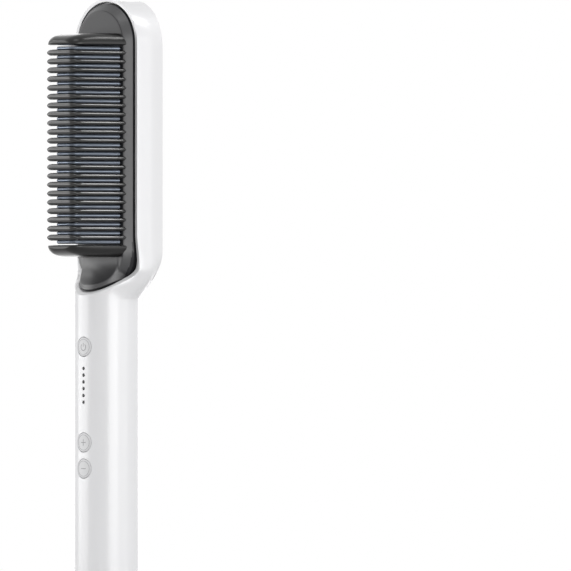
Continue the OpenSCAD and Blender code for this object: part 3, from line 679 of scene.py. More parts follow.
@dataclass
class Shell:
    """The white housing: handle, neck and head in one piece, with its openings.

    A hole gives its radius and how far round it the grid is drawn. The rim gives shares of the
    way inwards and of its depth, which the bevel sets for the sides and adds to at the foot.
    """

    form: Form
    button_hole: tuple = (4.7, 6.0)
    led_hole: tuple = (0.85, 1.5)
    near_x: tuple = (0, 0.2833, 0.5667, 0.85, 1.15, 1.5, 2.0, 2.55, 3.1, 3.65, 4.2, 4.7, 5.3, 6.0)
    plain_z: tuple = (5.4, 12, 25, 40, 55, 66, 99, 103, 122.4, 124.5, 142, 146, 149, 151, 152.5,
                      153.4, 176.6)
    foot_z: tuple = (0, 0.04, 0.15, 0.35, 0.6, 0.85)
    least_step: float = 0.02
    hole_top_z: float = 145.0
    hole_a: float = -60.0
    tube_top_z: float = 150.0
    tube_ease_x: float = 7.0
    tube_draft: float = 0.02
    back_gap_a: float = 0.8
    tuck_power: float = 2.5
    rim: tuple = ((0.12, 0.10), (0.35, 0.32), (0.65, 0.62), (0.9, 0.9), (1.0, 1.12))
    rim_bevel: tuple = (0.12, 2.0)
    bevel_power: float = 1.6
    groove: tuple = (0.35, 0.7, 1.0)
    seat_r: float = 22.3
    seat_low: float = 176.4
    seat_top: float = 271.5
    seat_in_r: float = 18.0
    seat_depth: float = 1.55
    seat_edge: float = 0.1
    seat_wall: float = 1.2
    side_share: float = 0.71
    inner_wall: float = 2.0
    least_r: float = 0.6

    def __post_init__(self) -> None:
        """Lists the holes, the columns' shares of a row and the rows' places on both outlines.

        A row's front columns run from the middle or the front opening to the head's back edge, its
        back columns from there to the middle or the seat. Rows run up the handle and neck, then up
        the straight sides and round the upper arc of each outline.
        """
        form = self.form
        self.holes = [Hole(z, *self.button_hole) for z in (form.minus_z, form.plus_z, form.power_z)]
        self.holes += [Hole(z, *self.led_hole) for z in form.led_z]
        near = np.degrees(np.arcsin(np.array(self.near_x) / form.handle_r)) - 90
        rest = np.linspace(near[-1], form.edge_a, 41)[1:]
        self.front_share = (np.concatenate([near, rest]) + 90) / (form.edge_a + 90)
        self.back_share = np.linspace(0, 1, 15)[1:]
        self.crease = Stadium(form.crease_r, form.low_z, form.crease_top_z)
        self.seat = Stadium(self.seat_r, self.seat_low, self.seat_top)
        self.heights = self._heights()
        self.straight = np.linspace(0, 1, 15)[1:]
        self.arc = np.linspace(0, 89.999, 31)[1:]
        self.front_path, self.first = self._rows(self.crease)
        self.back_path, self.last = self._rows(self.seat)

    def _heights(self) -> Array:
        """Heights of the rows below the full head, denser at the holes and the openings' feet."""
        form = self.form
        offsets = np.concatenate([-np.array(self.near_x)[::-1], self.near_x[1:]])
        zs = [form.cap_len, *self.plain_z, form.head_z]
        for hole in self.holes:
            zs.extend(hole.z + offsets[np.abs(offsets) <= hole.reach + TINY])
        zs.extend(self.seat.foot + np.array(self.foot_z))
        zs.extend(form.low_z - form.crease_r * cosd(np.linspace(0, 90, 34)))
        ordered = np.unique(np.round(np.array(zs), 4))
        return ordered[np.concatenate([[True], np.diff(ordered) > self.least_step])]

    def _rows(self, outline: Stadium) -> tuple:
        """Place of every row along an outline, and the number of the first row that meets it."""
        z = np.concatenate([self.heights, mix(self.form.head_z, outline.top, self.straight)])
        path = np.concatenate([outline.path_of_height(z), 2 + self.arc / 90])
        return path, int(np.argmax(self.heights >= outline.foot - TINY))

    def _edge_angle(self, outline: Stadium, path: Array, closed: float) -> Array:
        """Section angle of an outline in each row below the head, closed under its foot."""
        x = outline.at(path[:len(self.heights)])[:, 0]
        angle = self.form.angle_at(x, self.heights, min(closed, 0.0), max(closed, 0.0))
        return np.where(self.heights > outline.foot + TINY, angle, closed)[:, None]

    def _neck_grid(self) -> tuple:
        """Outer grid below the full head, its points drawn onto the holes' circles.

        Returns:
            The grid of points, and the mask of its quads that lie inside a hole.
        """
        form = self.form
        start = self._edge_angle(self.crease, self.front_path, -90.0)
        end = self._edge_angle(self.seat, self.back_path, 90.0)
        edge = np.minimum(form.edge_a, end - self.back_gap_a)
        a = np.concatenate([mix(start, edge, self.front_share), mix(edge, end, self.back_share)], 1)
        flat_x = form.handle_r * cosd(a)
        flat_z = np.repeat(self.heights[:, None], a.shape[1], 1)
        middle_x = (flat_x[:-1, :-1] + flat_x[1:, 1:]) / 2
        middle_z = (flat_z[:-1, :-1] + flat_z[1:, 1:]) / 2
        holed = (flat_z < self.hole_top_z) & (a < self.hole_a)
        z, missing = flat_z, np.zeros_like(middle_x, bool)
        for hole in self.holes:
            x_new, z_new = hole.warp(flat_x, z)
            reach = hole.reach + TINY
            near = holed & (np.abs(z - hole.z) <= reach) & (flat_x <= reach)
            warped = np.degrees(np.arcsin(np.clip(x_new / form.handle_r, 0, 1))) - 90
            a, z = np.where(near, warped, a), np.where(near, z_new, z)
            inside = (middle_x < hole.r) & (np.abs(middle_z - hole.z) < hole.r)
            missing |= inside & holed[:-1, :-1]
        return form.neck_point(a, z), missing

    def _head_grid(self) -> Array:
        """Outer grid of the full head.

        The section's points up to its back edge, each row at its angle round the arc. Behind the
        edge half-width and height run straight to the seat's outline, and the depth is the
        crown's.
        """
        form, n = self.form, len(self.straight)
        a = mix(form.side_a, form.edge_a, self.front_share)
        fan = np.concatenate([np.zeros(n), self.arc])
        sides = form.head_point(a[None, :], fan[:, None])
        top = form.head_point(a, 0.0)[None, :, 2]
        sides[:n, :, 2] = mix(form.head_z, top, self.straight[:, None])
        seat = self.seat.at(self.back_path[len(self.heights):])[:, None]
        x = mix(sides[:, -1:, 0], seat[..., 0], self.back_share)
        z = mix(sides[:, -1:, 2], seat[..., 1], self.back_share)
        return np.concatenate([sides, np.stack([x, form.crown_y(x), z], -1)], 1)

    def _front_strip(self, edge: Array) -> Array:
        """Rim from the crease to the opening, then the groove's wall down to the shoulder.

        The rim's outlines pass over from the crease's to the opening's while its depth grows by
        the bevel, which is the sides' plus the foot's times a power of the cosine round the arc.

        Args:
            edge: the outer grid's front edge along the opening.

        Returns:
            Grid whose columns run inwards.
        """
        form = self.form
        path = self.front_path[self.first:]
        lower = np.clip(cosd(np.clip(path, 0, 1) * 90), 0, 1) ** self.bevel_power
        bevel = self.rim_bevel[0] + self.rim_bevel[1] * lower
        strip = [edge]
        for share, drop in self.rim:
            outline = Stadium(mix(form.crease_r, form.opening_r, share), form.low_z,
                              mix(form.crease_top_z, form.open_top_z, share))
            strip.append(at_depth(outline.at(path), edge[:, 1] + drop * bevel))
        wall = strip[-1]
        for share in self.groove:
            strip.append(at_depth(wall[:, ::2], mix(wall[:, 1], form.flange_y, share)))
        shoulder = Stadium(form.cavity_r, form.low_z, form.cavity_top_z).at(path)
        return np.stack([*strip, at_depth(shoulder, form.flange_y)], 1)

    def _back_strip(self, edge: Array) -> Array:
        """Seat of the ring: down from the outer grid's back edge, inwards, and down again."""
        xz = Stadium(self.seat_in_r, self.seat_low, self.seat_top).at(self.back_path[self.last:])
        seat = at_depth(xz, self.form.skin_back(*xz.T) - self.seat_depth)
        top = [edge - [0, drop, 0] for drop in (0, self.seat_edge, self.seat_depth)]
        return np.stack([*top, seat, seat - [0, self.seat_wall, 0]], 1)

    def _tube(self, outer: Array) -> Array:
        """Inner points of the handle.

        Height as outside, half-width eased from the holes' to the bore's, and depth the root of
        the bore's radius squared less the half-width squared, with a slight draft.
        """
        form, x, y = self.form, outer[..., 0], outer[..., 1]
        ease = smooth((x - self.tube_ease_x) / (form.handle_r - self.tube_ease_x))
        x = x * (1 - form.wall / form.handle_r * ease)
        depth = np.sign(y) * np.sqrt(np.maximum(form.bore_r ** 2 - x * x, 0))
        depth += self.tube_draft * y / form.handle_r
        return np.stack([x, depth, outer[..., 2]], -1)

    def _inner(self, outer: Array, front_edge: Array, back_edge: Array) -> Array:
        """Inner grid: in each row a half circle, sheared so that its ends meet both openings.

        The half circle's radius is what is left between the mean of the two ends and the skin less
        the wall. On the upper arc the half-width is measured along the row's own ray. The handle's
        rows follow the bore instead.

        Args:
            outer: the outer grid.
            front_edge: inner edge of the front strip.
            back_edge: inner edge of the back strip.

        Returns:
            Grid of the same shape as the outer one.
        """
        neck, rows = len(self.heights), len(outer)
        front = np.zeros((rows, 3))
        front[:, 1] = -self.form.bore_r
        front[:neck, 2] = self.heights
        back = front * [1, -1, 1]
        front[self.first:], back[self.last:] = front_edge, back_edge
        fan = np.concatenate([np.zeros(rows - len(self.arc)), self.arc])[:, None]
        c, s = cosd(fan), sind(fan)
        ahead, behind = front[:, :1] / c, back[:, :1] / c
        widest = outer[..., 0].max(1, keepdims=True) / c
        left = widest - self.inner_wall - (ahead + behind) / 2
        r = np.clip(left, self.least_r, self.form.bore_r)
        k = self.side_share
        share = np.concatenate([self.front_share * k, mix(k, 1.0, self.back_share)])
        a = mix(-90, 90, share)
        rho = r * cosd(a) + mix(ahead, behind, share)
        y = r * sind(a) + mix(front[:, 1:2] + r, back[:, 1:2] - r, share)
        z = mix(front[:, 2:] - s * ahead, back[:, 2:] - s * behind, share) + rho * s
        inner = np.stack([rho * c, y, z], -1)
        tube = (self.heights < self.tube_top_z)[:, None, None]
        inner[:neck] = np.where(tube, self._tube(outer[:neck]), inner[:neck])
        return inner

    def _hole_wall(self, hole: Hole, outer: Array, inner: Array) -> Array:
        """Wall of one hole: the edge of the missing quads in the outer and the inner grid."""
        col = int(np.argmin(np.abs(np.array(self.near_x) - hole.r)))
        low, high = (int(np.argmin(np.abs(self.heights - hole.z - d))) for d in (-hole.r, hole.r))
        rows = [low] * col + list(range(low, high + 1)) + [high] * col
        cols = list(range(col)) + [col] * (high - low + 1) + list(range(col - 1, -1, -1))
        return np.stack([outer[rows, cols], inner[rows, cols]], 0)

    def build(self) -> None:
        """Builds the shell from an outer grid, an inner grid and the strips that join them."""
        neck, missing = self._neck_grid()
        outer = np.concatenate([neck, self._head_grid()])
        fade = np.concatenate([1 - self.front_share, 0 * self.back_share]) ** self.tuck_power
        outer[..., 1] += self.form.tuck_at(outer[..., 2]) * fade
        front_strip = self._front_strip(outer[self.first:, 0])
        back_strip = self._back_strip(outer[self.last:, -1])
        inner = self._inner(outer, front_strip[:, -1], back_strip[:, -1])
        keep = np.ones((len(outer) - 1, outer.shape[1] - 1), bool)
        keep[:len(missing)] = ~missing
        data = MeshData()
        for hole in self.holes:
            data.both_sides(self._hole_wall(hole, outer, inner))
        data.both_sides(outer, keep=keep)
        data.both_sides(inner, flip=True, keep=keep)
        data.both_sides(front_strip, flip=True)
        data.both_sides(back_strip)
        data.both_sides(np.stack([outer[0], inner[0]], 0), flip=True)
        shell = Build.piece("housing_shell", data, Palette.SHELL, sharp_deg=34.0)
        Build.place(shell, "root", "main_housing", "white_shell")


# ---- Guard comb and metal comb ----
@dataclass
class GuardBase:
    """The charcoal base inside the shell's opening: sloped border, floor, and scoop at its foot."""

    form: Form
    border_r: float = 18.3
    ridge_r: float = 15.3
    floor_y: float = -4.5
    border_y: float = -0.9
    scoop_r: float = 14.0
    scoop_z: float = 174.3
    tongue_r: float = 12.9
    flange_r: float = 20.6
    back_y: float = 4.4
    ridge_round: float = 0.5
    tongue_round: float = 0.7
    tongue_rise: float = 0.12
    tongue_reach: float = 3.0
    edge_steps: tuple = (0.1, 0.2)
    rim_margin: float = 0.1

    def front(self, x: Array, z: Array, r: float) -> Array:
        """Depth of the front surface.

        The border rises straight from the groove to the ridge, with a rounded ridge; the tongue is
        the rearmost of the handle-like cylinder and the scoop's hollow; the surface is the foremost
        of both.

        Args:
            x: half-widths.
            z: heights.
            r: distance from the outline's centre line.

        Returns:
            Depths.
        """
        outer_y = self.border_y + self.form.tuck_at(z)
        slope = (outer_y - self.floor_y) / (self.border_r - self.ridge_r)
        border_y = outer_y - slope * (self.border_r - r)
        border = soft_max(border_y, self.floor_y, self.ridge_round)
        below = np.maximum(self.scoop_z - z, 0)
        hollow = self.floor_y - self.scoop_r
        hollow = hollow + np.sqrt(np.maximum(self.scoop_r ** 2 - below ** 2, 0.0))
        cylinder = -np.sqrt(np.maximum(self.tongue_r ** 2 - x * x, 0.0))
        tongue = soft_max(hollow, cylinder, self.tongue_round) + self.tongue_rise
        scooped = soft_min(border, tongue, self.ridge_round)
        return np.where(z < self.scoop_z + self.tongue_reach, scooped, border)

    def build(self) -> bpy.types.Object:
        """Builds the base as rings of the outline, from its centre line out and round the back."""
        form = self.form
        path = runs((0, 1, 2, 3), (60, 24, 36))
        rings = []
        for r in runs((0, 12, 15, 15.9, 18.2), (28, 12, 8, 12)):
            xz = Stadium(r, form.low_z, form.open_top_z).at(path)
            rings.append(at_depth(xz, self.front(*xz.T, r)))
        edge = Stadium(self.border_r, form.low_z, form.open_top_z).at(path)
        edge_y = rings[-1][:, 1]
        near, far = self.edge_steps
        for y in (edge_y + near, np.maximum(edge_y + far, far), form.flange_y):
            rings.append(at_depth(edge, y))
        flange = ((self.flange_r, form.flange_y + 0.01), (self.flange_r, self.back_y))
        for r, y in (*flange, (0.0, self.back_y)):
            rings.append(at_depth(Stadium(r, form.low_z, form.cavity_top_z).at(path), y))
        data = MeshData()
        data.both_sides(np.stack(rings))
        base = Build.piece("guard_base", data, Palette.GUARD, sharp_deg=40.0)
        x, y, z = Build.centres(base)
        r = np.hypot(x, z - np.clip(z, form.low_z, form.open_top_z))
        rim = (r > self.ridge_r - self.rim_margin) | (z < self.scoop_z)
        # Painted light: the sloped border and the scoop take the lighter charcoal copy, which
        # stands in for the light on the border and lifts the shade in the scoop under the lower end
        # fin.
        Palette.second(base, Palette.GUARD_LIT_COPY, rim & (y < self.border_y))
        return base


@dataclass(frozen=True)
class Outline:
    """Half outline of a fin: root, straight flank, round tip corner and tip, as width and depth."""

    root_w: float
    tip_w: float
    root_y: float
    tip_y: float
    corner_r: float

    @property
    def flank(self) -> float:
        """Angle of the flank from the tip's line, in degrees."""
        across, down = self.root_w - self.tip_w, self.root_y - self.tip_y
        return float(np.degrees(np.arctan2(down, across)))

    @property
    def centre(self) -> Array:
        """Centre of the corner's circle, which touches tip and flank, as width and depth."""
        inset = self.corner_r * np.tan(np.radians(self.flank / 2))
        return np.array([self.tip_w - inset, self.tip_y + self.corner_r])

    def points(self, flank_n: int, corner_n: int, tip_n: int) -> tuple:
        """Points from the root to the middle of the tip, and the inward direction at each.

        The flank's steps grow with the square of their number, the corner is its centre plus the
        radius times (cos a, sin a), and the tip's steps are even.

        Args:
            flank_n: steps along the flank.
            corner_n: steps round the corner.
            tip_n: steps along the tip.

        Returns:
            Points and inward unit vectors, each as half-width and depth.
        """
        a = np.linspace(self.flank - 90, -90, corner_n + 1)
        outward = np.stack([cosd(a), sind(a)], -1)
        arc = self.centre + self.corner_r * outward
        t = np.linspace(0, 1, flank_n + 1)[:-1, None] ** 2
        side = mix(np.array([self.root_w, self.root_y]), arc[0], t)
        u = np.linspace(0, 1, tip_n + 1)[1:, None]
        tip = mix(arc[-1], np.array([0.0, self.tip_y]), u)
        inward = -np.repeat(outward, [flank_n + 1] + [1] * (corner_n - 1) + [tip_n + 1], 0)
        return np.concatenate([side, arc, tip]), inward

    def width_at(self, y: Array) -> Array:
        """Half-width at depth y: the flank's line, and the corner's circle near the tip."""
        line = mix(self.tip_w, self.root_w, (y - self.tip_y) / (self.root_y - self.tip_y))
        middle_w, middle_y = self.centre
        circle = middle_w + np.sqrt(np.maximum(self.corner_r ** 2 - (middle_y - y) ** 2, 0.0))
        tangent = self.tip_y + self.corner_r * (1 + float(sind(self.flank - 90)))
        return np.where(y < tangent, circle, line)


class Tip(Enum):
    """Section of a fin across its edge: inset from the edge and half-thickness, edge first."""

    BEAD = ((0.0, 0.0), (0.05, 0.3), (0.22, 0.66), (0.5, 1.02), (0.85, 1.3), (1.35, 1.44),
            (1.9, 1.34), (2.4, 1.12), (2.9, 0.97), (3.4, 0.9))
    ROUND = ((0.0, 0.0), (0.02, 0.08), (0.09, 0.2), (0.2, 0.36), (0.42, 0.66), (0.6, 0.86),
             (1.0, 0.96), (1.6, 0.98), (2.6, 0.92), (3.4, 0.88))
    COATED = ((0.0, 0.0), (0.02, 0.1), (0.08, 0.2), (0.18, 0.35), (0.38, 0.62), (0.56, 0.79),
              (0.9, 0.87), (1.3, 0.87), (2.0, 0.82), (2.7, 0.78))


@dataclass
class FinSet:
    """A row of equal fins, each a blade whose section follows its outline."""

    outline: Outline
    tip_section: Tip
    flank_section: Tip
    heights: Sequence[float]
    flank_n: int = 10
    corner_n: int = 14
    tip_n: int = 4
    turn_n: float = 12.0
    level_len: float = 4.0
    root_len: float = 3.4
    root_flare: float = 0.3
    flare_depth: float = 2.2

    def grids(self) -> list:
        """Surface of one fin at height nought: its two faces and the strip that closes the root.

        A face's point is the outline's point plus the inset along the inward direction, at the
        section's half-thickness. The section runs from the flank's to the tip's round the corner,
        and the inward direction turns level towards the root, so that the root lies in one plane.

        Returns:
            Grids of the right half.
        """
        points, inward = self.outline.points(self.flank_n, self.corner_n, self.tip_n)
        n = len(points)
        turn = smooth((np.arange(n) - float(self.flank_n)) / self.turn_n)[:, None, None]
        tip, flank = np.array(self.tip_section.value), np.array(self.flank_section.value)
        section = mix(flank[None], tip[None], turn)
        lean = smooth((self.outline.root_y - points[:, 1]) / self.level_len)
        level = np.stack([inward[:, 0], inward[:, 1] * lean], -1)
        xy = points[:, None, :] + level[:, None, :] * section[..., :1]
        xy[-1, :, 0] = 0.0
        near_root = 1 - smooth((self.outline.root_y - xy[:, :1, 1]) / self.root_len)
        flare = near_root * (1 - smooth(section[..., 0] / self.flare_depth))
        half = section[..., 1] * (1 + self.root_flare * flare)
        middle = np.stack([np.zeros(n), xy[:, -1, 1]], -1)
        xy = np.concatenate([xy, middle[:, None]], 1)
        half = np.concatenate([half, half[:, -1:]], 1)
        upper = np.stack([xy[..., 0], xy[..., 1], half], -1)
        lower = upper * [1, 1, -1]
        return [upper, lower, np.stack([upper[0], lower[0]])]

    def build(self, name: str, finish: Finish) -> bpy.types.Object:
        """Builds all fins of the row as one piece.

        Args:
            name: the piece's name.
            finish: its finish.

        Returns:
            The piece.
        """
        data = MeshData()
        grids = self.grids()
        for z in self.heights:
            for grid in grids:
                data.both_sides(grid + [0, 0, z])
        return Build.piece(name, data, finish, sharp_deg=50.0)


@dataclass
class EndFin:
    """The thick fin that closes the guard comb at one end.

    The side view gives the distance from the tip and the inner and outer edges there, and the
    inner edge its inset and share of the corner.
    """

    outline: Outline
    inner_z: float
    way: float
    side: tuple = ((28.1, 0.0, 5.7), (20.0, 0.0, 5.7), (15.0, 0.0, 5.66), (12.0, 0.0, 5.55),
                   (9.0, 0.0, 5.3), (6.5, 0.0, 4.95), (4.5, 0.0, 4.5), (3.0, 0.0, 4.05),
                   (1.8, 0.05, 3.5), (0.9, 0.25, 2.9), (0.35, 0.55, 2.35), (0.08, 0.9, 1.95),
                   (0.0, 1.25, 1.75))
    side_n: int = 45
    inner_edge: tuple = ((2.0, 0.0), (1.4, 0.03), (0.8, 0.12), (0.4, 0.35), (0.15, 0.65),
                         (0.03, 0.85))
    corner: float = 0.12
    edge_round: float = 4.6
    narrow_w: float = 9.0

    def build(self, name: str) -> bpy.types.Object:
        """Builds the fin as sections across its width, from root to tip.

        Each section has a small round corner on the inner side and a quarter ellipse on the outer
        side whose half-width is the edge's rounding, less where the fin is narrow. Between the
        points of the side view the values run straight.

        Args:
            name: the piece's name.

        Returns:
            The piece.
        """
        side, inner = np.array(self.side), np.array(self.inner_edge)
        t = np.linspace(0, len(side) - 1, self.side_n)
        d, low, high = (np.interp(t, np.arange(len(side)), column) for column in side.T)
        y = self.outline.tip_y + d
        w = self.outline.width_at(y)
        a = np.linspace(0, 90, 13)
        inset = np.concatenate([inner[:, 0], self.edge_round * (1 - cosd(a))])
        share = np.concatenate([inner[:, 1] * self.corner, mix(self.corner, 1.0, sind(a))])
        half = w[:, None] - inset * np.minimum(1.0, w / self.narrow_w)[:, None]
        nought = np.zeros((len(w), 1))
        half = np.concatenate([nought, half[:, :1] / 2, half, half[:, -1:] / 2, nought], 1)
        share = np.concatenate([[0.0, 0.0], share, [1.0, 1.0]])
        z = self.inner_z + self.way * mix(low[:, None], high[:, None], share)
        grid = np.stack([half, np.broadcast_to(y[:, None], half.shape), z], -1)
        data = MeshData()
        data.both_sides(grid)
        for row in (grid[0], grid[-1]):
            data.both_sides(np.stack([row, row * [0, 1, 1]]))
        return Build.piece(name, data, Palette.GUARD_END, sharp_deg=60.0)


@dataclass
class Comb:
    """Guard comb and heated metal comb together."""

    form: Form
    guard: Outline = Outline(16.4, 10.3, -2.9, -31.0, 5.0)
    end: Outline = Outline(16.4, 10.3, -2.9, -31.0, 7.0)
    metal: Outline = Outline(14.2, 6.2, -1.9, -28.2, 4.5)
    count: int = 23
    first_z: float = 181.25
    pitch: float = 4.1
    metal_t: float = 1.6
    end_gap: float = 0.6

    def build(self) -> None:
        """Builds base, guard fins, end fins and metal fins, and puts each on its node."""
        metal_z = [self.first_z + i * self.pitch for i in range(self.count)]
        guard_z = [self.first_z + (i + 0.5) * self.pitch for i in range(self.count - 1)]
        base = GuardBase(self.form).build()
        fins = FinSet(self.guard, Tip.BEAD, Tip.ROUND, guard_z)
        guard = [base, fins.build("guard_fins", Palette.GUARD_FIN)]
        for name, z, way in (("low", metal_z[0], -1.0), ("high", metal_z[-1], 1.0)):
            inner_z = z + way * self.metal_t / 2 + way * self.end_gap
            guard.append(EndFin(self.end, inner_z, way).build(f"guard_end_fin_{name}"))
        for piece in guard:
            Build.place(piece, "root", "comb_guard", "guard_black")
        blades = FinSet(self.metal, Tip.COATED, Tip.COATED, metal_z)
        Build.place(blades.build("metal_fins", Palette.COMB), "root", "heater_comb", "comb_metal")


# ---- Rear trim ----
@dataclass
class RearTrim:
    """The metallic ring and the crowned white panel on the head's back.

    The ring's section and the panel's edge give the inset from the outline and the lift, the
    ring's foot and lip the inset and the rise from the seat.
    """

    form: Form
    ring_r: float = 22.2
    ring_low: float = 176.4
    ring_top: float = 271.5
    panel_r: float = 18.1
    panel_low: float = 177.3
    panel_top: float = 270.4
    panel_lift: float = 0.3
    gap: float = 0.8
    seat: float = 1.55
    shade_depth: float = 0.3
    ring_foot: tuple = (0.0, 0.05)
    ring_section: tuple = (
        (0.0, -0.25), (0.06, 0.0), (0.2, 0.16), (0.45, 0.27), (1.0, 0.38), (1.6, 0.44),
        (2.2, 0.44), (2.75, 0.4), (3.05, 0.3), (3.22, 0.14), (3.3, -0.1))
    lip: tuple = ((3.3, 0.25), (4.9, 0.25), (4.9, 0.05))
    panel_edge: tuple = ((0.0, -0.2), (0.05, 0.02), (0.16, 0.16), (0.34, 0.25), (0.6, 0.295))
    panel_edge_w: float = 1.0

    def _loop(self, outline: Stadium, lift: float) -> Array:
        """Points of the right half of an outline laid on the skin's back, lifted along +Y.

        They stand close together round the arcs.
        """
        xz = outline.at(runs((0, 1, 2, 3), (48, 32, 48)))
        return at_depth(xz, self.form.skin_back(*xz.T) + lift)

    def ring(self) -> bpy.types.Object:
        """Builds the ring: a crowned band with rounded edges, and a lip inwards under the gap.

        Up to the band's width the outline passes over into the gap's, and past it only its
        half-width shrinks.
        """
        in_r = self.panel_r + self.gap
        width = self.ring_r - in_r
        foot, *lip = [(inset, rise - self.seat) for inset, rise in (self.ring_foot, *self.lip)]
        rings = []
        for inset, lift in (foot, *self.ring_section, *lip):
            k = min(inset / width, 1.0)
            r = mix(self.ring_r, in_r, k) - max(inset - width, 0.0)
            outline = Stadium(r, mix(self.ring_low, self.panel_low, k),
                              mix(self.ring_top, self.panel_top, k))
            rings.append(self._loop(outline, lift))
        data = MeshData()
        data.both_sides(np.stack([*rings, rings[0]]))
        ring = Build.piece("rear_trim_ring", data, Palette.RING, sharp_deg=40.0)
        x, y, z = Build.centres(ring)
        # Painted shade: the ring's faces lying deeper than the skin by more than the given depth,
        # inside the gap, take the near-black finish in place of the gap's shadow.
        Palette.second(ring, Palette.GAP_SHADE, y < self.form.skin_back(x, z) - self.shade_depth)
        return ring

    def panel(self) -> bpy.types.Object:
        """Builds the panel: the skin's crown, lifted, with a rounded edge and a flat underside."""
        under = self.panel_lift - self.seat
        top = [(self.panel_r, under)] + [(self.panel_r - d, lift) for d, lift in self.panel_edge]
        flat_r = self.panel_r - self.panel_edge_w
        top += [(r, self.panel_lift) for r in np.linspace(flat_r, 0, 25)]
        data = MeshData()
        for run in (top, [(r, under) for r in np.linspace(0, self.panel_r, 7)]):
            loops = [self._loop(Stadium(r, self.panel_low, self.panel_top), y) for r, y in run]
            data.both_sides(np.stack(loops))
        return Build.piece("rear_gloss_panel", data, Palette.PANEL, sharp_deg=40.0)

    def build(self) -> None:
        """Builds ring and panel."""
        Build.place(self.ring(), "root", "rear_ring", "ring_metal")
        Build.place(self.panel(), "root", "rear_panel", "panel_white")


# ---- Buttons and indicators ----
class Symbol(Enum):
    """Mark on a button's face."""

    POWER = "power"
    PLUS = "plus"
    MINUS = "minus"


@dataclass
class Button:
    """A round push button whose face carries on the handle's curve, with its mark let into it.

    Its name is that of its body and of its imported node. The face gives radii and lifts, the wall
    behind it radii and depths.
    """

    form: Form
    name: str
    z: float
    symbol: Symbol
    stand: float = 0.15
    face: tuple = ((0.0, 0.0), (1.0, 0.0), (2.0, 0.0), (3.0, 0.0), (3.6, 0.0), (4.0, 0.0),
                   (4.15, -0.012), (4.28, -0.05), (4.38, -0.11), (4.45, -0.19), (4.49, -0.28),
                   (4.5, -0.38))
    wall: tuple = ((4.5, -11.3), (5.4, -11.3), (5.4, -10.5), (1.6, -10.5), (1.6, -9.2), (0.0, -9.2))
    stroke_lift: tuple = (0.03, -0.12)
    ring_r: float = 3.55
    ring_w: float = 0.16
    power_r: float = 1.55
    power_w: float = 0.34
    power_arc: tuple = (125, 415)
    power_drop: float = 0.15
    power_bar: tuple = (0.95, 0.85)
    sign_half: float = 1.5
    sign_w: float = 0.36
    plus_arm: tuple = (0.18, 0.66)

    def _face_y(self, x: Array, lift: Array) -> Array:
        """Depth of the face at half-width x: the handle's circle, wider by stand and lift."""
        return -np.sqrt(np.maximum((self.form.handle_r + self.stand) ** 2 - x * x, 0.0)) - lift

    def cap(self) -> bpy.types.Object:
        """Builds the button as rings about its axis.

        The face has a rounded edge; behind it come the wall, the retaining flange and the stem.
        """
        x, up, lift = turned(self.face, 72)
        face = np.stack([x, self._face_y(x, lift), self.z + up], -1)
        x, up, y = turned(self.wall, 72)
        wall = np.stack([x, y, self.z + up], -1)
        data = MeshData()
        data.add(np.concatenate([face, wall]), wrap=True)
        return Build.piece(f"{self.name}_cap", data, Palette.BUTTON, sharp_deg=35.0)

    def _stroke(self, path: Array, width: float, closed: bool = False) -> Array:
        """A stroke of the mark: a strip along a path, a little proud of the face and let into it.

        A section's corners stand half the width to either side of the path, at both lifts.

        Args:
            path: points from the button's middle, as half-width and height.
            width: width of the stroke.
            closed: True for a full ring, whose last point repeats the first.

        Returns:
            Grid whose rows are the strip's four-cornered sections.
        """
        along = np.gradient(path, axis=0)
        if closed:
            along[0] = along[-1] = path[1] - path[-2]
        along /= np.linalg.norm(along, axis=1, keepdims=True)
        side = np.stack([-along[:, 1], along[:, 0]], -1) * width / 2
        proud, deep = self.stroke_lift
        corners = []
        for way, lift in ((1, proud), (-1, proud), (-1, deep), (1, deep)):
            x, up = (path + way * side).T
            corners.append(np.stack([x, self._face_y(x, lift), self.z + up], -1))
        grid = np.stack(corners, 1)
        if closed:
            return grid
        first, last = (np.repeat(row.mean(0)[None, None], 4, 1) for row in (grid[0], grid[-1]))
        return np.concatenate([first, grid, last])

    def _strokes(self) -> list:
        """Strokes of this button's mark: path, width, and whether it is closed.

        All marks have a ring. The power mark adds an open ring and an upright bar, the signs a
        level bar, and the plus two arms.
        """
        ring, arc = np.linspace(0, 360, 97), np.linspace(*self.power_arc, 49)
        bar = np.linspace(-1, 1, 9)
        strokes = [(self.ring_r * np.stack([cosd(ring), sind(ring)], -1), self.ring_w, True)]
        if self.symbol is Symbol.POWER:
            circle = self.power_r * np.stack([cosd(arc), sind(arc)], -1)
            upright = np.stack([0 * bar, self.power_bar[0] + self.power_bar[1] * bar], -1)
            strokes.append((circle + [0, -self.power_drop], self.power_w, False))
            strokes.append((upright, self.power_w, False))
        else:
            strokes.append((np.stack([self.sign_half * bar, 0 * bar], -1), self.sign_w, False))
        if self.symbol is Symbol.PLUS:
            for way in (-1, 1):
                up = way * (self.plus_arm[0] + self.plus_arm[1] * (bar + 1))
                strokes.append((np.stack([0 * bar, up], -1), self.sign_w, False))
        return strokes

    def mark(self) -> bpy.types.Object:
        """Builds the mark from its strokes."""
        data = MeshData()
        for path, width, closed in self._strokes():
            data.add(self._stroke(path, width, closed), wrap=True)
        return Build.piece(f"{self.name}_mark", data, Palette.SYMBOL, sharp_deg=30.0)

    def build(self) -> None:
        """Builds the cap and its mark on the button's own body."""
        for piece in (self.cap(), self.mark()):
            Build.place(piece, self.name, self.name, "button_grey")


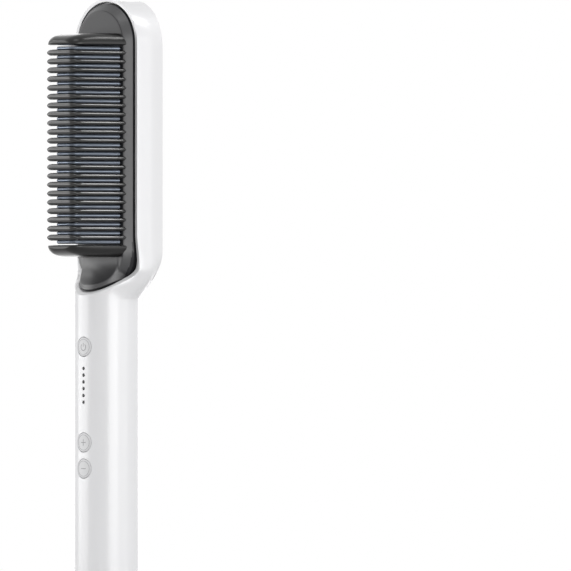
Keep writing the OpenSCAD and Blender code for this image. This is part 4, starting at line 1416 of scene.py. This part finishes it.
@dataclass
class Indicators:
    """The six dark windows in a row and the bar behind them that carries their light.

    A window gives radii and depths, the bar's ends places along it and shares of its section.
    """

    form: Form
    window: tuple = ((0, -15.42), (0.3, -15.41), (0.5, -15.385), (0.65, -15.35), (0.76, -15.3),
                     (0.82, -15.22), (0.83, -15.1), (0.83, -12.1), (0, -12.1))
    bar_y: float = -11.6
    bar_half: tuple = (1.5, 0.6)
    bar_end: float = 2.0
    squareness: float = 0.4
    bar_ends: tuple = ((-1.0, 0.0), (-1.0, 0.7), (-0.985, 0.95), (-0.95, 1.0), (0.0, 1.0),
                       (0.95, 1.0), (0.985, 0.95), (1.0, 0.7), (1.0, 0.0))

    def _bar(self) -> Array:
        """Rounded bar along Z behind the windows.

        Its section is (sign cos a |cos a|^p, sign sin a |sin a|^p) times the half-axes, with p the
        squareness, and the table of places and shares draws it in at both ends.
        """
        zs = self.form.led_z
        half = (zs[-1] - zs[0]) / 2
        place, k = np.array(self.bar_ends).T[..., None]
        a = np.linspace(0, 360, 25)[:-1]
        c, s = (np.sign(v) * np.abs(v) ** self.squareness for v in (cosd(a), sind(a)))
        z = np.repeat(zs[0] + half + (half + self.bar_end) * place, len(a), 1)
        return np.stack([self.bar_half[0] * k * c, self.bar_y + self.bar_half[1] * k * s, z], -1)

    def build(self) -> None:
        """Builds the windows as domed rods about their axes, and the bar."""
        data = MeshData()
        x, up, y = turned(self.window, 32)
        for z in self.form.led_z:
            data.add(np.stack([x, y, z + up], -1), wrap=True)
        data.add(self._bar(), wrap=True)
        piece = Build.piece("indicator_windows", data, Palette.WINDOW, sharp_deg=35.0)
        Build.place(piece, "root", "light_guide", "lens_dark")


# ---- Tail ----
@dataclass
class Tail:
    """Tail cap and cord gland, turned about the handle's axis.

    The flange gives radii and heights above the cap.
    """

    form: Form
    tail_r: float = 13.0
    swivel_r: float = 5.5
    swivel_gap: float = 0.05
    bore_r: float = 3.3
    stem_r: float = 4.2
    stem_top: float = 16.0
    collar_gap: float = 0.05
    collar_wall: float = 1.75
    flange: tuple = ((8.4, 0.3), (8.4, 1.8))

    @staticmethod
    def _turned(name: str, profile: list, finish: Finish) -> bpy.types.Object:
        """Makes a piece of a profile of radius and height turned about Z and closed on itself."""
        data = MeshData()
        data.add(np.stack(turned(profile + profile[:1], 120), -1), wrap=True)
        return Build.piece(name, data, finish, sharp_deg=35.0)

    def cap(self) -> bpy.types.Object:
        """Builds the cap: flat foot, round edge, seam step, and a collar that snaps in."""
        r, c, hole = self.form.handle_r, self.form.cap_len, self.swivel_r + self.swivel_gap
        fit = self.form.bore_r - self.collar_gap
        edge = r - self.tail_r
        profile = [(hole, 0.35), (self.swivel_r + 0.16, 0.1), (self.swivel_r + 0.4, 0.0),
                   (9.0, 0.0), (self.tail_r - 0.4, 0.0)]
        profile += [(self.tail_r + edge * float(cosd(a)), edge * (1 + float(sind(a))))
                    for a in np.linspace(-90, 0, 13)]
        seam = ((r, -0.3), (r - 0.08, -0.12), (r - 0.3, -0.05))
        snap = ((fit, -0.05), (fit, 7.5), (fit + 0.35, 7.8), (fit + 0.35, 8.1), (fit, 8.5))
        end = ((fit, 10.8), (fit - 0.2, 11.0), (fit - self.collar_wall, 11.0))
        inside = ((fit - self.collar_wall, 0.0), (hole, 0.0))
        profile += [(radius, c + rise) for radius, rise in (*seam, *snap, *end, *inside)]
        return self._turned("tail_cap", profile, Palette.TAIL)

    def gland(self) -> bpy.types.Object:
        """Builds the gland: a bush with a rounded mouth and two shallow grooves in its end face."""
        b, s, c = self.bore_r, self.swivel_r, self.form.cap_len
        mouth = ((0.0, 0.5), (0.08, 0.2), (0.3, 0.02), (0.55, 0.0))
        groove = ((0.7, 0.12), (0.95, 0.12), (1.1, 0.0))
        second = ((1.35, 0.0), (1.5, 0.12), (1.75, 0.12), (1.9, 0.0))
        profile = [(b + out, z) for out, z in (*mouth, *groove, *second)]
        profile += [(s - 0.12, 0.05), (s, 0.25), (s, c + self.flange[0][1])]
        profile += [(radius, c + rise) for radius, rise in self.flange]
        profile += [(self.stem_r, c + self.flange[1][1]), (self.stem_r, self.stem_top),
                    (b, self.stem_top)]
        return self._turned("cord_gland", profile, Palette.GLAND)

    def build(self) -> None:
        """Builds the cap on the handle and the gland on its own turning body."""
        Build.place(self.cap(), "root", "end_cap", "white_shell")
        Build.place(self.gland(), "cord_swivel", "cord_swivel", "gland_grey")


# ---- Inner parts ----
class InnerParts:
    """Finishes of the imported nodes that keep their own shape."""

    FINISHES = {
        "insulation_film": Palette.FILM, "ptc_heaters": Palette.HEATER_STONE,
        "electrode_strips": Palette.STEEL, "heater_clamp": Palette.ALUMINIUM,
        "thermal_fuse": Palette.STEEL, "temperature_sensor": Palette.BLACK_PLASTIC,
        "heat_shield": Palette.MICA, "shield_screws": Palette.STEEL,
        "indicator_leds": Palette.LENS, "control_board": Palette.FIBREGLASS,
        "board_carrier": Palette.NYLON, "board_screws": Palette.STEEL,
        "power_switch": Palette.BLACK_PLASTIC, "plus_switch": Palette.BLACK_PLASTIC,
        "minus_switch": Palette.BLACK_PLASTIC, "film_capacitor": Palette.CAPACITOR,
        "triac": Palette.BLACK_PLASTIC, "choke": Palette.COPPER,
        "microcontroller": Palette.BLACK_PLASTIC, "lead_terminal": Palette.WHITE_CERAMIC,
        "heater_leads": Palette.LEAD_RED, "sensor_leads": Palette.LEAD_IVORY,
        "mains_leads": Palette.LEAD_BROWN, "contact_springs": Palette.BRASS,
        "swivel_retainer": Palette.NYLON, "power_plunger": Palette.BLACK_PLASTIC,
        "plus_plunger": Palette.BLACK_PLASTIC, "minus_plunger": Palette.BLACK_PLASTIC,
        "slip_rings": Palette.BRASS,
    }

    def dress(self, nodes: dict) -> None:
        """Gives each kept node its finish.

        Args:
            nodes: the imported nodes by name.
        """
        for name, finish in self.FINISHES.items():
            Palette.dress(nodes[name], finish)
            LOG.info("%s: %s", name, finish.name)


# ---- Studio ----
def towards(azimuth: float, elevation: float) -> Vector:
    """Unit vector (sin a cos e, -cos a cos e, sin e): azimuth 0 in front, 90 to the right."""
    a, e = np.radians(azimuth), np.radians(elevation)
    across = float(np.cos(e))
    return Vector((float(np.sin(a)) * across, float(-np.cos(a)) * across, float(np.sin(e))))


@dataclass(frozen=True)
class Lamp:
    """A soft rectangular lamp that faces a point of the object, measured in metres."""

    name: str
    azimuth: float
    elevation: float
    width: float
    height: float
    power: float
    distance: float = 1.2

    def build(self, aim: Vector) -> None:
        """Places the lamp at its azimuth and elevation, turned to the aim."""
        way = towards(self.azimuth, self.elevation)
        light = bpy.data.lights.new(self.name, "AREA")
        light.shape = "RECTANGLE"
        light.size, light.size_y, light.energy = self.width, self.height, self.power
        obj = Build.link(self.name, light)
        obj.location = aim + way * self.distance
        obj.rotation_euler = (-way).to_track_quat("-Z", "Y").to_euler()
        LOG.info("lamp: %s", self.name)


@dataclass
class Studio:
    """Floor, world, lamps and camera.

    The paper's pairs give the value in the floor's middle and at its rim. The floor's own sizes
    are in metres.
    """

    view_width: float = 267.0
    target_z: float = 161.0
    side_shift: float = 83.4
    azimuth: float = 45.0
    distance: float = 4000.0
    sensor: float = 36.0
    clip: tuple = (0.1, 50.0)
    lamp_aim_z: float = 170.0
    lamps: Sequence[Lamp] = (
        Lamp("box_left", -50.0, 8.0, 1.15, 0.8, 9.2),
        Lamp("box_right", 100.0, 5.0, 1.0, 0.8, 3.6),
        Lamp("box_rear", 215.0, 5.0, 1.2, 0.8, 6.4),
        Lamp("front_low", 67.0, 5.0, 0.7, 0.6, 6.4),
        Lamp("top", 30.0, 64.0, 0.36, 0.27, 1.6),
        Lamp("high_left", -70.0, 40.0, 0.36, 0.26, 1.0),
        Lamp("high_right", 136.0, 51.0, 0.28, 0.22, 3.2),
    )
    world_light: float = 0.23
    floor_r: float = 0.7
    floor_drop: float = 0.0002
    floor_rough: float = 0.9
    fade_from: float = 0.1
    fade_share: float = 0.98
    paper: tuple = (0.5, 0.0)
    paper_glow: tuple = (0.45, 1.0)

    def camera(self) -> None:
        """Places the camera: level, its axis to the right of the handle's, with a long lens.

        The lens is the sensor's width times the distance over the width of the view.
        """
        back = towards(self.azimuth, 0.0)
        right = Vector((-back.y, back.x, 0.0))
        target = right * (self.side_shift * MM) + Vector((0, 0, self.target_z * MM))
        data = bpy.data.cameras.new("camera")
        data.sensor_width = self.sensor
        data.lens = self.sensor * self.distance / self.view_width
        data.clip_start, data.clip_end = self.clip
        cam = Build.link("camera", data)
        cam.location = target + back * (self.distance * MM)
        cam.rotation_euler = (-back).to_track_quat("-Z", "Y").to_euler()
        bpy.context.scene.camera = cam

    @staticmethod
    def _background_share(tree: bpy.types.NodeTree) -> bpy.types.NodeSocket:
        """One for camera, glossy and transmission rays, which see the background, else nought."""
        path = tree.nodes.new("ShaderNodeLightPath").outputs
        seen = combine(tree, "MAXIMUM", path["Is Camera Ray"], path["Is Glossy Ray"])
        return combine(tree, "MAXIMUM", seen, path["Is Transmission Ray"])

    def world(self) -> None:
        """Makes the world white where it is seen and plain soft light elsewhere."""
        world = bpy.data.worlds.new("studio")
        world.use_nodes = True
        tree = world.node_tree
        level = fill(tree, tree.nodes.new("ShaderNodeMapRange"), {
            "To Min": self.world_light, "To Max": 1.0, "Value": self._background_share(tree)})
        fill(tree, tree.nodes["Background"], {
            "Color": (1.0, 1.0, 1.0, 1.0), "Strength": level.outputs["Result"]})
        bpy.context.scene.world = world

    def _faded(self, tree: bpy.types.NodeTree, ends: tuple) -> bpy.types.NodeSocket:
        """A value that runs smoothly from one end in the floor's middle to the other at its rim."""
        coords = tree.nodes.new("ShaderNodeTexCoord").outputs["Object"]
        radius = tree.nodes.new("ShaderNodeVectorMath")
        radius.operation = "LENGTH"
        fill(tree, radius, {0: coords})
        node = tree.nodes.new("ShaderNodeMapRange")
        node.interpolation_type = "SMOOTHSTEP"
        fill(tree, node, {
            "From Min": self.fade_from, "From Max": self.floor_r * self.fade_share,
            "To Min": ends[0], "To Max": ends[1], "Value": radius.outputs["Value"]})
        return node.outputs["Result"]

    def floor(self) -> None:
        """Makes the pale floor, lifted towards white where seen so that only the shadow shows."""
        x, y, z = turned([(self.floor_r, 0.0)], 96)
        mesh = bpy.data.meshes.new("floor")
        rim = np.stack([x[0], y[0], z[0]], -1)
        mesh.from_pydata(rim.tolist(), [], [list(range(len(rim)))])
        obj = Build.link("floor", mesh)
        obj.location = (0, 0, -self.floor_drop)
        mat = bpy.data.materials.new("floor_paper")
        mat.use_nodes = True
        tree = mat.node_tree
        lift = self._faded(tree, self.paper_glow)
        fill(tree, tree.nodes["Principled BSDF"], {
            "Roughness": self.floor_rough, "Specular IOR Level": 0.0,
            "Base Color": self._faded(tree, self.paper), "Emission Color": (1.0, 1.0, 1.0, 1.0),
            "Emission Strength": combine(tree, "MULTIPLY", self._background_share(tree), lift)})
        mesh.materials.append(mat)

    def build(self) -> None:
        """Sets up the whole studio."""
        bpy.context.scene.view_settings.view_transform = "Standard"
        self.world()
        self.floor()
        for lamp in self.lamps:
            lamp.build(Vector((0, 0, self.lamp_aim_z * MM)))
        self.camera()


# ---- The whole part ----
def main() -> None:
    """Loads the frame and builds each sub-assembly on its body."""
    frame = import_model()
    form = Form()
    Studio().build()
    Shell(form).build()
    Comb(form).build()
    RearTrim(form).build()
    Button(form, "power_button", form.power_z, Symbol.POWER).build()
    Button(form, "plus_button", form.plus_z, Symbol.PLUS).build()
    Button(form, "minus_button", form.minus_z, Symbol.MINUS).build()
    Indicators(form).build()
    Tail(form).build()
    InnerParts().dress(frame["nodes"])
    bpy.context.view_layer.update()


if __name__ == "__main__":
    main()
